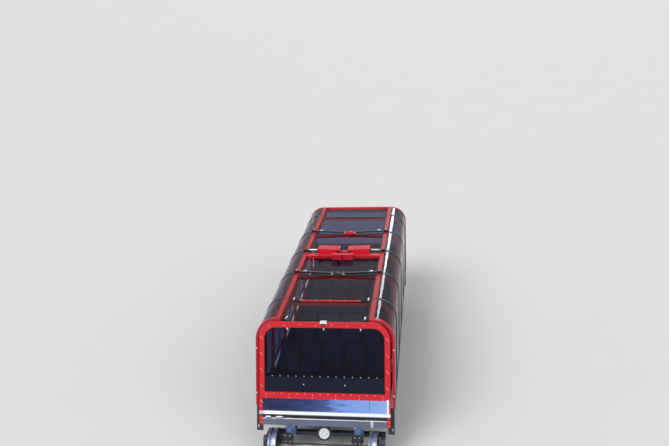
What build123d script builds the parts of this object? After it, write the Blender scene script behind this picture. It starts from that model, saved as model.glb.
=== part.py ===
# Funicular car for steep rope-hauled track: glazed body with raked ends, two gull-wing leaves and two wheelsets.
# Frame: +Y uphill along the track, +X to the right seen from the downhill end, +Z square to the rails.
# The origin is on the floor under the middle of the car, and the floor touches the wheel flanges.
from build123d import *
import math
import os

os.makedirs("parts", exist_ok=True)

# Driving sizes of the body, in millimetres and degrees
rake_deg = 19.8
body_foot_z = 616.0
body_run = 6250.0
first_bay_run = 905.0
last_bay_run = 697.0
station_count = 5
ring_half = 1150.0
ring_corner = 300.0
ring_band = 95.0
ring_depth = 20.0
leaf_overhang = 75.0
leaf_corner = 360.0
leaf_rise = 25.0
buffer_reach = 270.0

# Drops measured down the raked face from the top of the ring
bar_top_drop = 1230.0
bar_height = 105.0
valance_height = 210.0
valance_fold_drop = 48.0
recess_height = 84.0
bumper_height = 120.0
panel_joint_drop = 960.0

# Running gear
flange_radius = 300.0
tread_radius = 272.0
wheel_centre_x = 866.0
wheel_width = 140.0
axle_radius = 50.0
journal_radius = 38.0
running_gap = 0.08
front_axle_lead = 150.0
rear_axle_setback = 335.0

# General clearances
panel_gap = 3.0
seat_gap = 0.3

rake = math.radians(rake_deg)
bar_drop = bar_top_drop + bar_height
fold_top_drop = bar_drop + valance_height
fold_drop = fold_top_drop + valance_fold_drop
bumper_top_drop = fold_drop + recess_height
foot_drop = bumper_top_drop + bumper_height
front_foot_y = -foot_drop * math.sin(rake)
rear_foot_y = body_run + front_foot_y
roof_z = body_foot_z + foot_drop * math.cos(rake)
nose_reach = buffer_reach - front_foot_y
wheel_reach = front_axle_lead + flange_radius - front_foot_y
ring_top_y = (max(nose_reach, wheel_reach) - body_run) / 2
leaf_half = ring_half + leaf_overhang
bay_run = (body_run - first_bay_run - last_bay_run) / (station_count - 1)
stations = [first_bay_run + index * bay_run for index in range(station_count)]
along_track = (0, 1, 0)


def section_plane(run):
    """Raked plane across the body, local x across and local y up the face, at a run from the front ring."""
    return Plane(
        origin=(0, ring_top_y + run, roof_z),
        x_dir=(1, 0, 0),
        z_dir=(0, -math.cos(rake), math.sin(rake)),
    )


def arch_face(half, top, corner, foot):
    """Flat face with two straight legs and rounded upper corners, closed along its foot."""
    with BuildSketch() as face:
        with BuildLine():
            Polyline((half, top - corner), (half, foot), (-half, foot), (-half, top - corner))
            CenterArc((-half + corner, top - corner), corner, 90, 90)
            Line((-half + corner, top), (half - corner, top))
            CenterArc((half - corner, top - corner), corner, 0, 90)
        make_face()
    return face.sketch


def band_face(start_x, half, top, corner, thick, foot):
    """Half a hoop in the +X half: a band from start_x along the top, round the corner and down to its foot."""
    with BuildSketch() as face:
        add(arch_face(half, top, corner, foot))
        add(arch_face(half - thick, top - thick, corner - thick, foot), mode=Mode.SUBTRACT)
        with Locations((start_x, foot)):
            Rectangle(2 * half, top - foot, align=(Align.MAX, Align.MIN), mode=Mode.SUBTRACT)
    return face.sketch


def box_face(low_x, high_x, low_v, high_v):
    """Rectangle given by its corners."""
    with BuildSketch() as face:
        with Locations(((low_x + high_x) / 2, (low_v + high_v) / 2)):
            Rectangle(high_x - low_x, high_v - low_v)
    return face.sketch


# End rings: flat red frames, bolted all round, whose legs run down past the bumper
leg_width = 60.0
window_half = ring_half - ring_band
window_corner = ring_corner - ring_band


def ring_face(inset, leg):
    """Ring outline set in by an amount, with its window and the gap between legs of a width."""
    with BuildSketch() as face:
        add(arch_face(ring_half - inset, -inset, ring_corner - inset, -foot_drop))
        add(arch_face(window_half, -ring_band, window_corner, -bar_top_drop), mode=Mode.SUBTRACT)
        leg_gap_half = ring_half - inset - leg
        add(box_face(-leg_gap_half, leg_gap_half, -foot_drop, -bar_drop), mode=Mode.SUBTRACT)
    return face.sketch


with BuildPart() as end_rings:
    for run in (0, body_run - ring_depth):
        with BuildSketch(section_plane(run)):
            add(ring_face(0, leg_width))
        extrude(amount=ring_depth, dir=along_track)
end_rings.part.label = "end_rings"
export_step(end_rings.part, "parts/end_rings.step")

# End frames: black welded frames behind the rings, which carry the roof and the sills
frame_depth = 130.0
frame_inset = 50.0
frame_leg = 80.0
frame_run = ring_depth + frame_depth
end_frame_half = ring_half - frame_inset
with BuildPart() as end_frames:
    for run in (ring_depth, body_run - frame_run):
        with BuildSketch(section_plane(run)):
            add(ring_face(frame_inset, frame_leg))
        extrude(amount=frame_depth, dir=along_track)
end_frames.part.label = "end_frames"
export_step(end_frames.part, "parts/end_frames.step")

# Windscreen and rear window: one pane each, above three lower panels, all set back in the ring
glass_thick = 10.0
glass_setback = 20.0
pane_half = window_half - panel_gap
pane_corner = window_corner - panel_gap
pane_top = -ring_band - panel_gap
panel_seam_x = 362.0
glazing_runs = (glass_setback, body_run - glass_setback - glass_thick)
seam_half = panel_gap / 2
panel_columns = [
    # low x, high x
    (-pane_half, -panel_seam_x - seam_half),
    (-panel_seam_x + seam_half, panel_seam_x - seam_half),
    (panel_seam_x + seam_half, pane_half),
]
with BuildPart() as end_windows:
    for run in glazing_runs:
        with BuildSketch(section_plane(run)):
            add(arch_face(pane_half, pane_top, pane_corner, -panel_joint_drop))
        extrude(amount=glass_thick, dir=along_track)
end_windows.part.label = "end_windows"
export_step(end_windows.part, "parts/end_windows.step")

with BuildPart() as end_panels:
    for run in glazing_runs:
        with BuildSketch(section_plane(run)):
            for low_x, high_x in panel_columns:
                add(box_face(low_x, high_x, -bar_top_drop + panel_gap, -panel_joint_drop - panel_gap))
        extrude(amount=glass_thick, dir=along_track)
end_panels.part.label = "end_panels"
export_step(end_panels.part, "parts/end_panels.step")

# Cross bars behind the joint of pane and panels, where the row of screws sits
crossbar_height = 70.0
crossbar_depth = 40.0
crossbar_runs = (glass_setback + glass_thick, body_run - glass_setback - glass_thick - crossbar_depth)
with BuildPart() as crossbars:
    for run in crossbar_runs:
        with BuildSketch(section_plane(run)):
            low_v = -panel_joint_drop - crossbar_height / 2
            add(box_face(-window_half, window_half, low_v, low_v + crossbar_height))
        extrude(amount=crossbar_depth, dir=along_track)
crossbars.part.label = "crossbars"
export_step(crossbars.part, "parts/crossbars.step")

# Valances: polished sheets between the ring's legs, under the bottom bar. The flared lip runs on in front of the legs.
sheet = 4.0
valance_half = ring_half - leg_width - panel_gap
lip_reach = 45.0
lip_drop = 14.0
valance_back = 10.0
wing_gap = 2.0
wing_start = valance_back + wing_gap
lip_inner = lip_reach - sheet
lip_bottom = -fold_drop - lip_drop
fold_slope = valance_fold_drop / lip_reach
fold_wall = sheet * math.hypot(1, fold_slope)


def side_profile_plane(run, half):
    """Upright plane along the track at -half, local x from the ring's top and local y the height over the roof."""
    return Plane(
        origin=(-half, ring_top_y + run, roof_z),
        x_dir=(0, 1, 0),
        z_dir=(1, 0, 0),
    )


def raked(points):
    """Shear points given as (run, drop) so that they follow the rake of the face."""
    return [(run + drop * math.sin(rake), drop * math.cos(rake)) for run, drop in points]


def fold_level(distance):
    """Level of the upper face of the fold at a distance outwards from the sheet."""
    return -fold_top_drop - distance * fold_slope


def lip_points(outward, start):
    """Outline of the fold and its lip as (run, level) pairs, from a distance outwards."""
    return [
        (outward * start, fold_level(start)),
        (outward * lip_reach, -fold_drop),
        (outward * lip_reach, lip_bottom),
        (outward * lip_inner, lip_bottom),
        (outward * lip_inner, fold_level(lip_inner) - fold_wall),
    ]


def valance_points(outward):
    """Outline of the sheet between the legs as (run, level) pairs."""
    top = -bar_drop - seat_gap
    back = -outward * sheet
    return [(0, top)] + lip_points(outward, 0) + [(back, fold_level(-sheet) - fold_wall), (back, top)]


def wing_points(outward):
    """Outline of the lip in front of the legs as (run, level) pairs."""
    return lip_points(outward, wing_start) + [(outward * wing_start, fold_level(wing_start) - fold_wall)]


with BuildPart() as valances:
    for run, outward in ((valance_back, -1), (body_run - valance_back, 1)):
        with BuildSketch(side_profile_plane(run, valance_half)):
            with BuildLine():
                Polyline(*raked(valance_points(outward)), close=True)
            make_face()
        extrude(amount=2 * valance_half)
        with BuildSketch(side_profile_plane(run, ring_half)):
            with BuildLine():
                Polyline(*raked(wing_points(outward)), close=True)
            make_face()
        extrude(amount=2 * ring_half)
valances.part.label = "valances"
export_step(valances.part, "parts/valances.step")

# Bumper beams: channels open towards the car, bolted to the end frames under the valances
bumper_reach = 10.0
bumper_wall = 8.0


def bumper_points(outward):
    """Channel outline as (run, level) pairs, counted outwards from the front of the end frame."""
    front = outward * (ring_depth + bumper_reach)
    inner = outward * (ring_depth + bumper_reach - bumper_wall)
    return [
        (0, -bumper_top_drop),
        (front, -bumper_top_drop),
        (front, -foot_drop),
        (0, -foot_drop),
        (0, -foot_drop + bumper_wall),
        (inner, -foot_drop + bumper_wall),
        (inner, -bumper_top_drop - bumper_wall),
        (0, -bumper_top_drop - bumper_wall),
    ]


with BuildPart() as bumpers:
    for run, outward in ((ring_depth, -1), (body_run - ring_depth, 1)):
        with BuildSketch(side_profile_plane(run, valance_half)):
            with BuildLine():
                Polyline(*raked(bumper_points(outward)), close=True)
            make_face()
        extrude(amount=2 * valance_half)
bumpers.part.label = "bumpers"
export_step(bumpers.part, "parts/bumpers.step")

# Roof: cant rails, a beam at every station, and flat panes that lie on them
cant_inset = 270.0
cant_width = 120.0
deck_drop = 45.0
beam_height = 60.0
beam_width = 80.0
roof_glass_thick = 10.0
roof_glass_lap = 15.0
pane_joint = 6.0
cant_outer_x = ring_half - cant_inset
cant_inner_x = cant_outer_x - cant_width
roof_glass_half = cant_inner_x + roof_glass_lap
cabin_start = frame_run
cabin_end = body_run - frame_run
cabin_run = cabin_end - cabin_start

with BuildPart() as cant_rails:
    with BuildSketch(section_plane(cabin_start)):
        add(box_face(cant_inner_x, cant_outer_x, -deck_drop - beam_height, -deck_drop))
        add(box_face(-cant_outer_x, -cant_inner_x, -deck_drop - beam_height, -deck_drop))
    extrude(amount=cabin_run, dir=along_track)
cant_rails.part.label = "cant_rails"
export_step(cant_rails.part, "parts/cant_rails.step")

with BuildPart() as roof_beams:
    for station in stations:
        with BuildSketch(section_plane(station - beam_width / 2)):
            add(box_face(-cant_inner_x, cant_inner_x, -deck_drop - beam_height, -deck_drop))
        extrude(amount=beam_width, dir=along_track)
roof_beams.part.label = "roof_beams"
export_step(roof_beams.part, "parts/roof_beams.step")

pane_edges = [cabin_start] + stations + [cabin_end]
with BuildPart() as roof_glass:
    for pane_start, pane_end in zip(pane_edges[:-1], pane_edges[1:]):
        with BuildSketch(section_plane(pane_start + pane_joint / 2)):
            add(box_face(-roof_glass_half, roof_glass_half, -deck_drop, -deck_drop + roof_glass_thick))
        extrude(amount=pane_end - pane_start - pane_joint, dir=along_track)
roof_glass.part.label = "roof_glass"
export_step(roof_glass.part, "parts/roof_glass.step")
glass_top_level = -deck_drop + roof_glass_thick

# Battens over the first and last pane joints
batten_half = 560.0
batten_width = 30.0
batten_height = 15.0
with BuildPart() as roof_battens:
    for station in (stations[0], stations[-1]):
        with BuildSketch(section_plane(station - batten_width / 2)):
            add(box_face(-batten_half, batten_half, glass_top_level, glass_top_level + batten_height))
        extrude(amount=batten_width, dir=along_track)
roof_battens.part.label = "roof_battens"
export_step(roof_battens.part, "parts/roof_battens.step")

# Side hoops: the fixed ribs inside the curved glass, from the cant rails down to the sills
hoop_inset = 35.0
hoop_half = ring_half - hoop_inset
hoop_thick = 50.0
hoop_width = 60.0
hoop_corner = 265.0
with BuildPart() as side_hoops:
    for station in stations:
        with BuildSketch(section_plane(station - hoop_width / 2)):
            add(band_face(cant_outer_x, hoop_half, -deck_drop, hoop_corner, hoop_thick, -bumper_top_drop))
        extrude(amount=hoop_width, dir=along_track)
    mirror(about=Plane.YZ)
side_hoops.part.label = "side_hoops"
export_step(side_hoops.part, "parts/side_hoops.step")

# Sills under the doorways, with a skirt panel standing on each
sill_inset = 10.0
sill_width = 60.0
sill_outer_x = ring_half - sill_inset
sill_inner_x = sill_outer_x - sill_width
skirt_thick = 12.0
skirt_height = 165.0
skirt_top_drop = bumper_top_drop - skirt_height
with BuildPart() as side_sills:
    with BuildSketch(section_plane(cabin_start)):
        add(box_face(sill_inner_x, sill_outer_x, -foot_drop, -bumper_top_drop))
        add(box_face(-sill_outer_x, -sill_inner_x, -foot_drop, -bumper_top_drop))
    extrude(amount=cabin_run, dir=along_track)
side_sills.part.label = "side_sills"
export_step(side_sills.part, "parts/side_sills.step")

with BuildPart() as side_skirts:
    with BuildSketch(section_plane(cabin_start)):
        add(box_face(sill_outer_x - skirt_thick, sill_outer_x, -bumper_top_drop, -skirt_top_drop))
        add(box_face(-sill_outer_x, -sill_outer_x + skirt_thick, -bumper_top_drop, -skirt_top_drop))
    extrude(amount=cabin_run, dir=along_track)
side_skirts.part.label = "side_skirts"
export_step(side_skirts.part, "parts/side_skirts.step")

# Side posts: galvanised plates with an oblong slot, hung from the end frames below the end hoops of the leaves
post_inset = 10.0
post_outer_x = leaf_half - post_inset
post_thick = 12.0
post_reach = 163.0
post_top_drop = skirt_top_drop
post_foot_drop = foot_drop + post_reach
post_run = 90.0
slot_length = 60.0
slot_width = 22.0
slot_foot = 75.0
post_slot_drop = post_foot_drop - slot_foot
with BuildPart() as side_posts:
    for run in (post_run, body_run - post_run - post_thick):
        with BuildSketch(section_plane(run)):
            add(box_face(end_frame_half, post_outer_x, -post_foot_drop, -post_top_drop))
            with Locations(((ring_half + post_outer_x) / 2, -post_slot_drop)):
                SlotOverall(slot_length, slot_width, rotation=90, mode=Mode.SUBTRACT)
        extrude(amount=post_thick, dir=along_track)
    mirror(about=Plane.YZ)
side_posts.part.label = "side_posts"
export_step(side_posts.part, "parts/side_posts.step")

# Leaf frame: red rail over the cant rail with a hoop at each end
rail_inset = 27.0
rail_width = 80.0
rail_inner_x = cant_inner_x + rail_inset
rail_outer_x = rail_inner_x + rail_width
rail_foot = -38.0
leaf_hoop_thick = 44.0
leaf_hoop_width = 60.0
leaf_end_gap = 55.0
leaf_setback = ring_depth + leaf_end_gap
leaf_run = body_run - 2 * leaf_setback
leaf_lap = 12.0
leaf_drop = skirt_top_drop - leaf_lap
leaf_hoop_runs = (leaf_setback, body_run - leaf_setback - leaf_hoop_width)
with BuildPart() as leaf_frame_right:
    with BuildSketch(section_plane(leaf_setback)):
        add(box_face(rail_inner_x, rail_outer_x, rail_foot, leaf_rise))
    extrude(amount=leaf_run, dir=along_track)
    for run in leaf_hoop_runs:
        with BuildSketch(section_plane(run)):
            add(band_face(rail_inner_x, leaf_half, leaf_rise, leaf_corner, leaf_hoop_thick, -leaf_drop))
        extrude(amount=leaf_hoop_width, dir=along_track)
leaf_frame_right.part.label = "leaf_frame_right"
export_step(leaf_frame_right.part, "parts/leaf_frame_right.step")
with BuildPart() as leaf_frame_left:
    mirror(leaf_frame_right.part, about=Plane.YZ)
leaf_frame_left.part.label = "leaf_frame_left"
export_step(leaf_frame_left.part, "parts/leaf_frame_left.step")

# Leaf ribs: black straps outside the pane joints, tied together by the bottom edge bar
rib_thick = 8.0
rib_width = 50.0
edge_bar_thick = 30.0
edge_bar_height = 45.0
between_hoops = leaf_run - 2 * leaf_hoop_width
glass_start = leaf_setback + leaf_hoop_width
with BuildPart() as leaf_ribs_right:
    with BuildSketch(section_plane(glass_start)):
        edge_bar_inner = leaf_half - edge_bar_thick
        add(box_face(edge_bar_inner, leaf_half, -leaf_drop - edge_bar_height, -leaf_drop))
    extrude(amount=between_hoops, dir=along_track)
    for station in stations:
        with BuildSketch(section_plane(station - rib_width / 2)):
            add(band_face(rail_outer_x, leaf_half, leaf_rise, leaf_corner, rib_thick, -leaf_drop))
        extrude(amount=rib_width, dir=along_track)
leaf_ribs_right.part.label = "leaf_ribs_right"
export_step(leaf_ribs_right.part, "parts/leaf_ribs_right.step")
with BuildPart() as leaf_ribs_left:
    mirror(leaf_ribs_right.part, about=Plane.YZ)
leaf_ribs_left.part.label = "leaf_ribs_left"
export_step(leaf_ribs_left.part, "parts/leaf_ribs_left.step")

# Leaf glass: one curved pane to each bay, under the ribs and on the bottom edge bar
leaf_glass_thick = 10.0
leaf_edges = [glass_start - pane_joint / 2] + stations + [glass_start + between_hoops + pane_joint / 2]
with BuildPart() as leaf_glass_right:
    for pane_start, pane_end in zip(leaf_edges[:-1], leaf_edges[1:]):
        with BuildSketch(section_plane(pane_start + pane_joint / 2)):
            glass_half = leaf_half - rib_thick
            glass_corner = leaf_corner - rib_thick
            glass_top = leaf_rise - rib_thick
            add(band_face(rail_outer_x, glass_half, glass_top, glass_corner, leaf_glass_thick, -leaf_drop))
        extrude(amount=pane_end - pane_start - pane_joint, dir=along_track)
leaf_glass_right.part.label = "leaf_glass_right"
export_step(leaf_glass_right.part, "parts/leaf_glass_right.step")
with BuildPart() as leaf_glass_left:
    mirror(leaf_glass_right.part, about=Plane.YZ)
leaf_glass_left.part.label = "leaf_glass_left"
export_step(leaf_glass_left.part, "parts/leaf_glass_left.step")

# Levels of the roof that the hinges and drives stand on
middle = stations[station_count // 2]
glass_top_z = roof_z + glass_top_level * math.cos(rake)
rail_top_z = roof_z + leaf_rise * math.cos(rake)


def cross_plane(run):
    """Upright plane across the car, local x across and local y the height above the floor."""
    return Plane(origin=(0, ring_top_y + run, 0), x_dir=(1, 0, 0), z_dir=(0, -1, 0))


# Hinges in the middle of the roof: double lug brackets, bolts along the track, and the arms of both leaves
hinge_x = 110.0
hinge_height = 47.0
pin_radius = 12.0
pin_head_radius = 20.0
pin_head = 10.0
eye_radius = 26.0
lug_radius = 28.0
lug_thick = 12.0
arm_width = 50.0
arm_height = 30.0
lug_gap = 5.0
drive_arm_lead = 30.0
base_half = 150.0
base_height = 12.0
hinge_z = glass_top_z + hinge_height
plain_arm_runs = [stations[station_count // 2 - 1], stations[station_count // 2 + 1]]
drive_arm_run = middle - drive_arm_lead
bracket_half = arm_width / 2 + lug_gap + lug_thick
with BuildPart() as hinge_brackets:
    for run in plain_arm_runs + [drive_arm_run]:
        with BuildSketch(cross_plane(run)):
            add(box_face(-base_half, base_half, glass_top_z, glass_top_z + base_height))
        extrude(amount=bracket_half, both=True)
        with BuildSketch(cross_plane(run)):
            add(box_face(-hinge_x, hinge_x, glass_top_z + base_height, hinge_z + lug_radius / 2))
            with Locations((-hinge_x, hinge_z), (hinge_x, hinge_z)):
                Circle(lug_radius)
                Circle(pin_radius + running_gap, mode=Mode.SUBTRACT)
        extrude(amount=bracket_half, both=True)
        with BuildSketch(cross_plane(run)):
            add(box_face(-base_half - lug_radius, -hinge_x / 2, glass_top_z + base_height, hinge_z + 2 * lug_radius))
            add(box_face(hinge_x / 2, base_half + lug_radius, glass_top_z + base_height, hinge_z + 2 * lug_radius))
        extrude(amount=arm_width / 2 + lug_gap, both=True, mode=Mode.SUBTRACT)
hinge_brackets.part.label = "hinge_brackets"
export_step(hinge_brackets.part, "parts/hinge_brackets.step")

with BuildPart() as hinge_pins:
    for run in plain_arm_runs + [drive_arm_run]:
        with BuildSketch(cross_plane(run)):
            with Locations((-hinge_x, hinge_z), (hinge_x, hinge_z)):
                Circle(pin_radius)
        extrude(amount=bracket_half + pin_head, both=True)
        for outward in (-1, 1):
            with BuildSketch(cross_plane(run + outward * (bracket_half + running_gap + pin_head / 2))):
                with Locations((-hinge_x, hinge_z), (hinge_x, hinge_z)):
                    RegularPolygon(radius=pin_head_radius, side_count=6)
            extrude(amount=pin_head / 2, both=True)
hinge_pins.part.label = "hinge_pins"
export_step(hinge_pins.part, "parts/hinge_pins.step")

knuckle_lap = 3.0
knuckle_lip = 13.0
knuckle_inner_x = rail_inner_x + knuckle_lap
knuckle_outer_x = rail_outer_x + knuckle_lip
knuckle_height = 56.0
knuckle_width = 70.0
knuckle_round = 14.0
arm_end_rise = 32.0
arm_end_z = rail_top_z + arm_end_rise
with BuildPart() as leaf_arms_right:
    for run in plain_arm_runs + [drive_arm_run]:
        with BuildSketch(cross_plane(run)):
            add(box_face(knuckle_inner_x, knuckle_outer_x, rail_top_z, rail_top_z + knuckle_height))
        extrude(amount=knuckle_width / 2, both=True)
    for run in plain_arm_runs:
        with BuildSketch(cross_plane(run)):
            with BuildLine():
                Polyline(
                    (hinge_x, hinge_z - arm_height / 2),
                    (knuckle_outer_x - knuckle_round, arm_end_z - arm_height / 2),
                    (knuckle_outer_x - knuckle_round, arm_end_z + arm_height / 2 - knuckle_round / 2),
                    (hinge_x, hinge_z + arm_height / 2),
                    close=True,
                )
            make_face()
            with Locations((hinge_x, hinge_z)):
                Circle(eye_radius)
                Circle(pin_radius + running_gap, mode=Mode.SUBTRACT)
        extrude(amount=arm_width / 2, both=True)
leaf_arms_right.part.label = "leaf_arms_right"
export_step(leaf_arms_right.part, "parts/leaf_arms_right.step")
with BuildPart() as leaf_arms_left:
    mirror(leaf_arms_right.part, about=Plane.YZ)
leaf_arms_left.part.label = "leaf_arms_left"
export_step(leaf_arms_left.part, "parts/leaf_arms_left.step")

# Drive covers: closed red housings on the middle arms, with the eye at the inner end
cover_inner_x = 160.0
cover_outer_x = 560.0
cover_half_width = 120.0
cover_inner_foot = -37.0
cover_outer_foot = -30.0
cover_inner_top = 95.0
cover_outer_top = 108.0
with BuildPart() as drive_cover_right:
    with BuildSketch(cross_plane(drive_arm_run)):
        with BuildLine():
            Polyline(
                (cover_inner_x, hinge_z + cover_inner_foot),
                (cover_outer_x, hinge_z + cover_outer_foot),
                (cover_outer_x, hinge_z + cover_outer_top),
                (cover_inner_x, hinge_z + cover_inner_top),
                close=True,
            )
        make_face()
    extrude(amount=cover_half_width, both=True)
    with BuildSketch(cross_plane(drive_arm_run)):
        add(box_face(hinge_x, cover_inner_x, hinge_z - arm_height / 2, hinge_z + arm_height / 2))
        with Locations((hinge_x, hinge_z)):
            Circle(eye_radius)
            Circle(pin_radius + running_gap, mode=Mode.SUBTRACT)
    extrude(amount=arm_width / 2, both=True)
drive_cover_right.part.label = "drive_cover_right"
export_step(drive_cover_right.part, "parts/drive_cover_right.step")
with BuildPart() as drive_cover_left:
    mirror(drive_cover_right.part, about=Plane.YZ)
drive_cover_left.part.label = "drive_cover_left"
export_step(drive_cover_left.part, "parts/drive_cover_left.step")

drive_tube_radius = 22.0
tube_plane = Plane(
    origin=(cover_outer_x, ring_top_y + drive_arm_run, arm_end_z),
    x_dir=(0, 1, 0),
    z_dir=(1, 0, 0),
)
with BuildPart() as drive_tube_right:
    with BuildSketch(tube_plane):
        Circle(drive_tube_radius)
    extrude(amount=knuckle_inner_x - cover_outer_x)
drive_tube_right.part.label = "drive_tube_right"
export_step(drive_tube_right.part, "parts/drive_tube_right.step")
with BuildPart() as drive_tube_left:
    mirror(drive_tube_right.part, about=Plane.YZ)
drive_tube_left.part.label = "drive_tube_left"
export_step(drive_tube_left.part, "parts/drive_tube_left.step")

# Drive beam across the roof, downhill of the drive covers, with a gear box for each leaf on its front
drive_beam_width = 140.0
drive_beam_height = 65.0
drive_beam_gap = 10.0
drive_beam_end = drive_arm_run - cover_half_width - drive_beam_gap
with BuildPart() as drive_beam:
    with BuildSketch(cross_plane(drive_beam_end)):
        add(box_face(-roof_glass_half, roof_glass_half, glass_top_z, glass_top_z + drive_beam_height))
    extrude(amount=drive_beam_width)
drive_beam.part.label = "drive_beam"
export_step(drive_beam.part, "parts/drive_beam.step")

drive_box_inner = 10.0
drive_box_length = 215.0
drive_box_foot = 8.0
drive_box_height = 120.0
drive_box_width = 95.0
drive_box_outer = drive_box_inner + drive_box_length
drive_box_foot_z = glass_top_z + drive_box_foot
drive_box_top_z = drive_box_foot_z + drive_box_height
with BuildPart() as drive_boxes:
    with BuildSketch(cross_plane(drive_beam_end - drive_beam_width)):
        add(box_face(drive_box_inner, drive_box_outer, drive_box_foot_z, drive_box_top_z))
        add(box_face(-drive_box_outer, -drive_box_inner, drive_box_foot_z, drive_box_top_z))
    extrude(amount=drive_box_width)
drive_boxes.part.label = "drive_boxes"
export_step(drive_boxes.part, "parts/drive_boxes.step")

# Sensor box on the middle of the front ring
sensor_half = 58.0
sensor_foot = -25.0
sensor_top = 35.0
sensor_depth = 50.0
with BuildPart() as sensor_box:
    with BuildSketch(section_plane(-sensor_depth)):
        add(box_face(-sensor_half, sensor_half, sensor_foot, sensor_top))
    extrude(amount=sensor_depth, dir=along_track)
sensor_box.part.label = "sensor_box"
export_step(sensor_box.part, "parts/sensor_box.step")

# Rows of seats face downhill; their floor is level when the track climbs at this angle
slope_deg = 45.0
slope = math.radians(slope_deg)
row_count = 5
first_row_y = 570.0
riser_setback = 62.0
chassis_top = 461.0
saddle_height = 40.0
seat_height = 430.0
seat_depth = 430.0
back_height = 700.0
shell_thick = 40.0
tray_thick = 20.0
floor_gap = 20.0
floor_half = sill_inner_x - floor_gap
step_out = bay_run * math.cos(slope)
step_up = bay_run * math.sin(slope)
nosing = step_out - riser_setback
tread_top = -seat_height
tread_foot = -seat_height - tray_thick
tread_back = -riser_setback - tray_thick
valley_z = chassis_top + saddle_height
row_z = valley_z - tread_back * math.sin(slope) - tread_foot * math.cos(slope)


def side_plane(x):
    """Upright plane along the track at x, local x from the ring's top and local y the height above the floor."""
    return Plane(origin=(x, ring_top_y, 0), x_dir=(0, 1, 0), z_dir=(1, 0, 0))


def row_points(row, points):
    """Place (forward, up) points of a row, level as the passengers sit, in the side view of the car."""
    placed = []
    for forward, up in points:
        run = first_row_y + row * bay_run - forward * math.cos(slope) + up * math.sin(slope)
        height = row_z + forward * math.sin(slope) + up * math.cos(slope)
        placed.append((run, height))
    return placed


# Floor trays: a tread for each row with the riser that stands on the tread below it
riser_foot = tread_top - step_up + seat_gap
last_gap = 15.0
last_run = first_row_y + row_count * bay_run + tread_top * math.sin(slope)
last_fall = (roof_z - row_z - tread_top * math.cos(slope)) * math.tan(rake)
last_tread_back = (last_run - cabin_end + last_fall + last_gap) / (
    math.cos(slope) + math.sin(slope) * math.tan(rake)
)
tray_outlines = []
for row in range(row_count + 1):
    back = tread_back if row < row_count else last_tread_back
    if row == 0:
        outline = [(nosing, tread_top), (nosing, tread_foot), (back, tread_foot), (back, tread_top)]
    else:
        outline = [
            (nosing, tread_top),
            (nosing, riser_foot),
            (nosing - tray_thick, riser_foot),
            (nosing - tray_thick, tread_foot),
            (back, tread_foot),
            (back, tread_top),
        ]
    tray_outlines.append(row_points(row, outline))
with BuildPart() as floor_trays:
    for outline in tray_outlines:
        with BuildSketch(side_plane(-floor_half)):
            with BuildLine():
                Polyline(*outline, close=True)
            make_face()
        extrude(amount=2 * floor_half)
floor_trays.part.label = "floor_trays"
export_step(floor_trays.part, "parts/floor_trays.step")

# Seat rows: moulded benches with a shallow gap between the places
place_gap = 14.0
groove_depth = 12.0
narrow_place = 416.0
wide_place = 466.0
seat_table = [
    # places, width of one place
    (5, narrow_place),
    (4, wide_place),
    (4, wide_place),
    (4, wide_place),
    (4, wide_place),
]


def shell_outline(depth):
    """Bench profile whose sitting faces are set back by a depth."""
    return [
        (seat_depth, -depth),
        (seat_depth, -shell_thick),
        (-shell_thick, -shell_thick),
        (-shell_thick, back_height),
        (-depth, back_height),
        (-depth, -depth),
    ]


with BuildPart() as seat_rows:
    for row, (places, width) in enumerate(seat_table):
        row_half = places * width / 2
        with BuildSketch(side_plane(-row_half + place_gap / 2)):
            with BuildLine():
                Polyline(*row_points(row, shell_outline(groove_depth)), close=True)
            make_face()
        extrude(amount=2 * row_half - place_gap)
        for place in range(places):
            with BuildSketch(side_plane(-row_half + place * width + place_gap / 2)):
                with BuildLine():
                    Polyline(*row_points(row, shell_outline(0)), close=True)
                make_face()
            extrude(amount=width - place_gap)
seat_rows.part.label = "seat_rows"
export_step(seat_rows.part, "parts/seat_rows.step")

# Seat brackets: gusset plates under the benches, fixed to the risers behind them
gusset_thick = 12.0
gusset_share = 0.6
gusset_reach = 300.0
gusset_nose = 30.0
gusset_height = 220.0
riser_face = seat_gap - riser_setback
with BuildPart() as seat_brackets:
    for row, (places, width) in enumerate(seat_table):
        spread = gusset_share * places * width / 2
        for x in (-spread, 0, spread):
            with BuildSketch(side_plane(x - gusset_thick / 2)):
                with BuildLine():
                    Polyline(
                        *row_points(
                            row,
                            [
                                (riser_face, -shell_thick - seat_gap),
                                (gusset_reach, -shell_thick - seat_gap),
                                (gusset_reach, -shell_thick - gusset_nose),
                                (riser_face, -shell_thick - gusset_height),
                            ],
                        ),
                        close=True,
                    )
                make_face()
            extrude(amount=gusset_thick)
seat_brackets.part.label = "seat_brackets"
export_step(seat_brackets.part, "parts/seat_brackets.step")

# Chassis: two box beams under the floor, joined by cross members, with saddles where the trays rest
chassis_x = 600.0
chassis_width = 120.0
chassis_height = 100.0
saddle_reach = 90.0
saddle_x = 660.0
hanger_thick = 20.0
hanger_inset = 0.0
valley_y = row_points(0, [(tread_back, tread_foot)])[0][0]
chassis_foot = chassis_top - chassis_height
chassis_start = front_foot_y + hanger_inset + hanger_thick
chassis_end = rear_foot_y - hanger_inset - hanger_thick
inner_side = chassis_x - chassis_width / 2
outer_side = chassis_x + chassis_width / 2
with BuildPart() as chassis_beams:
    for x in (-outer_side, inner_side):
        with BuildSketch(side_plane(x)):
            add(box_face(chassis_start, chassis_end, chassis_foot, chassis_top))
        extrude(amount=chassis_width)
chassis_beams.part.label = "chassis_beams"
export_step(chassis_beams.part, "parts/chassis_beams.step")

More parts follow.
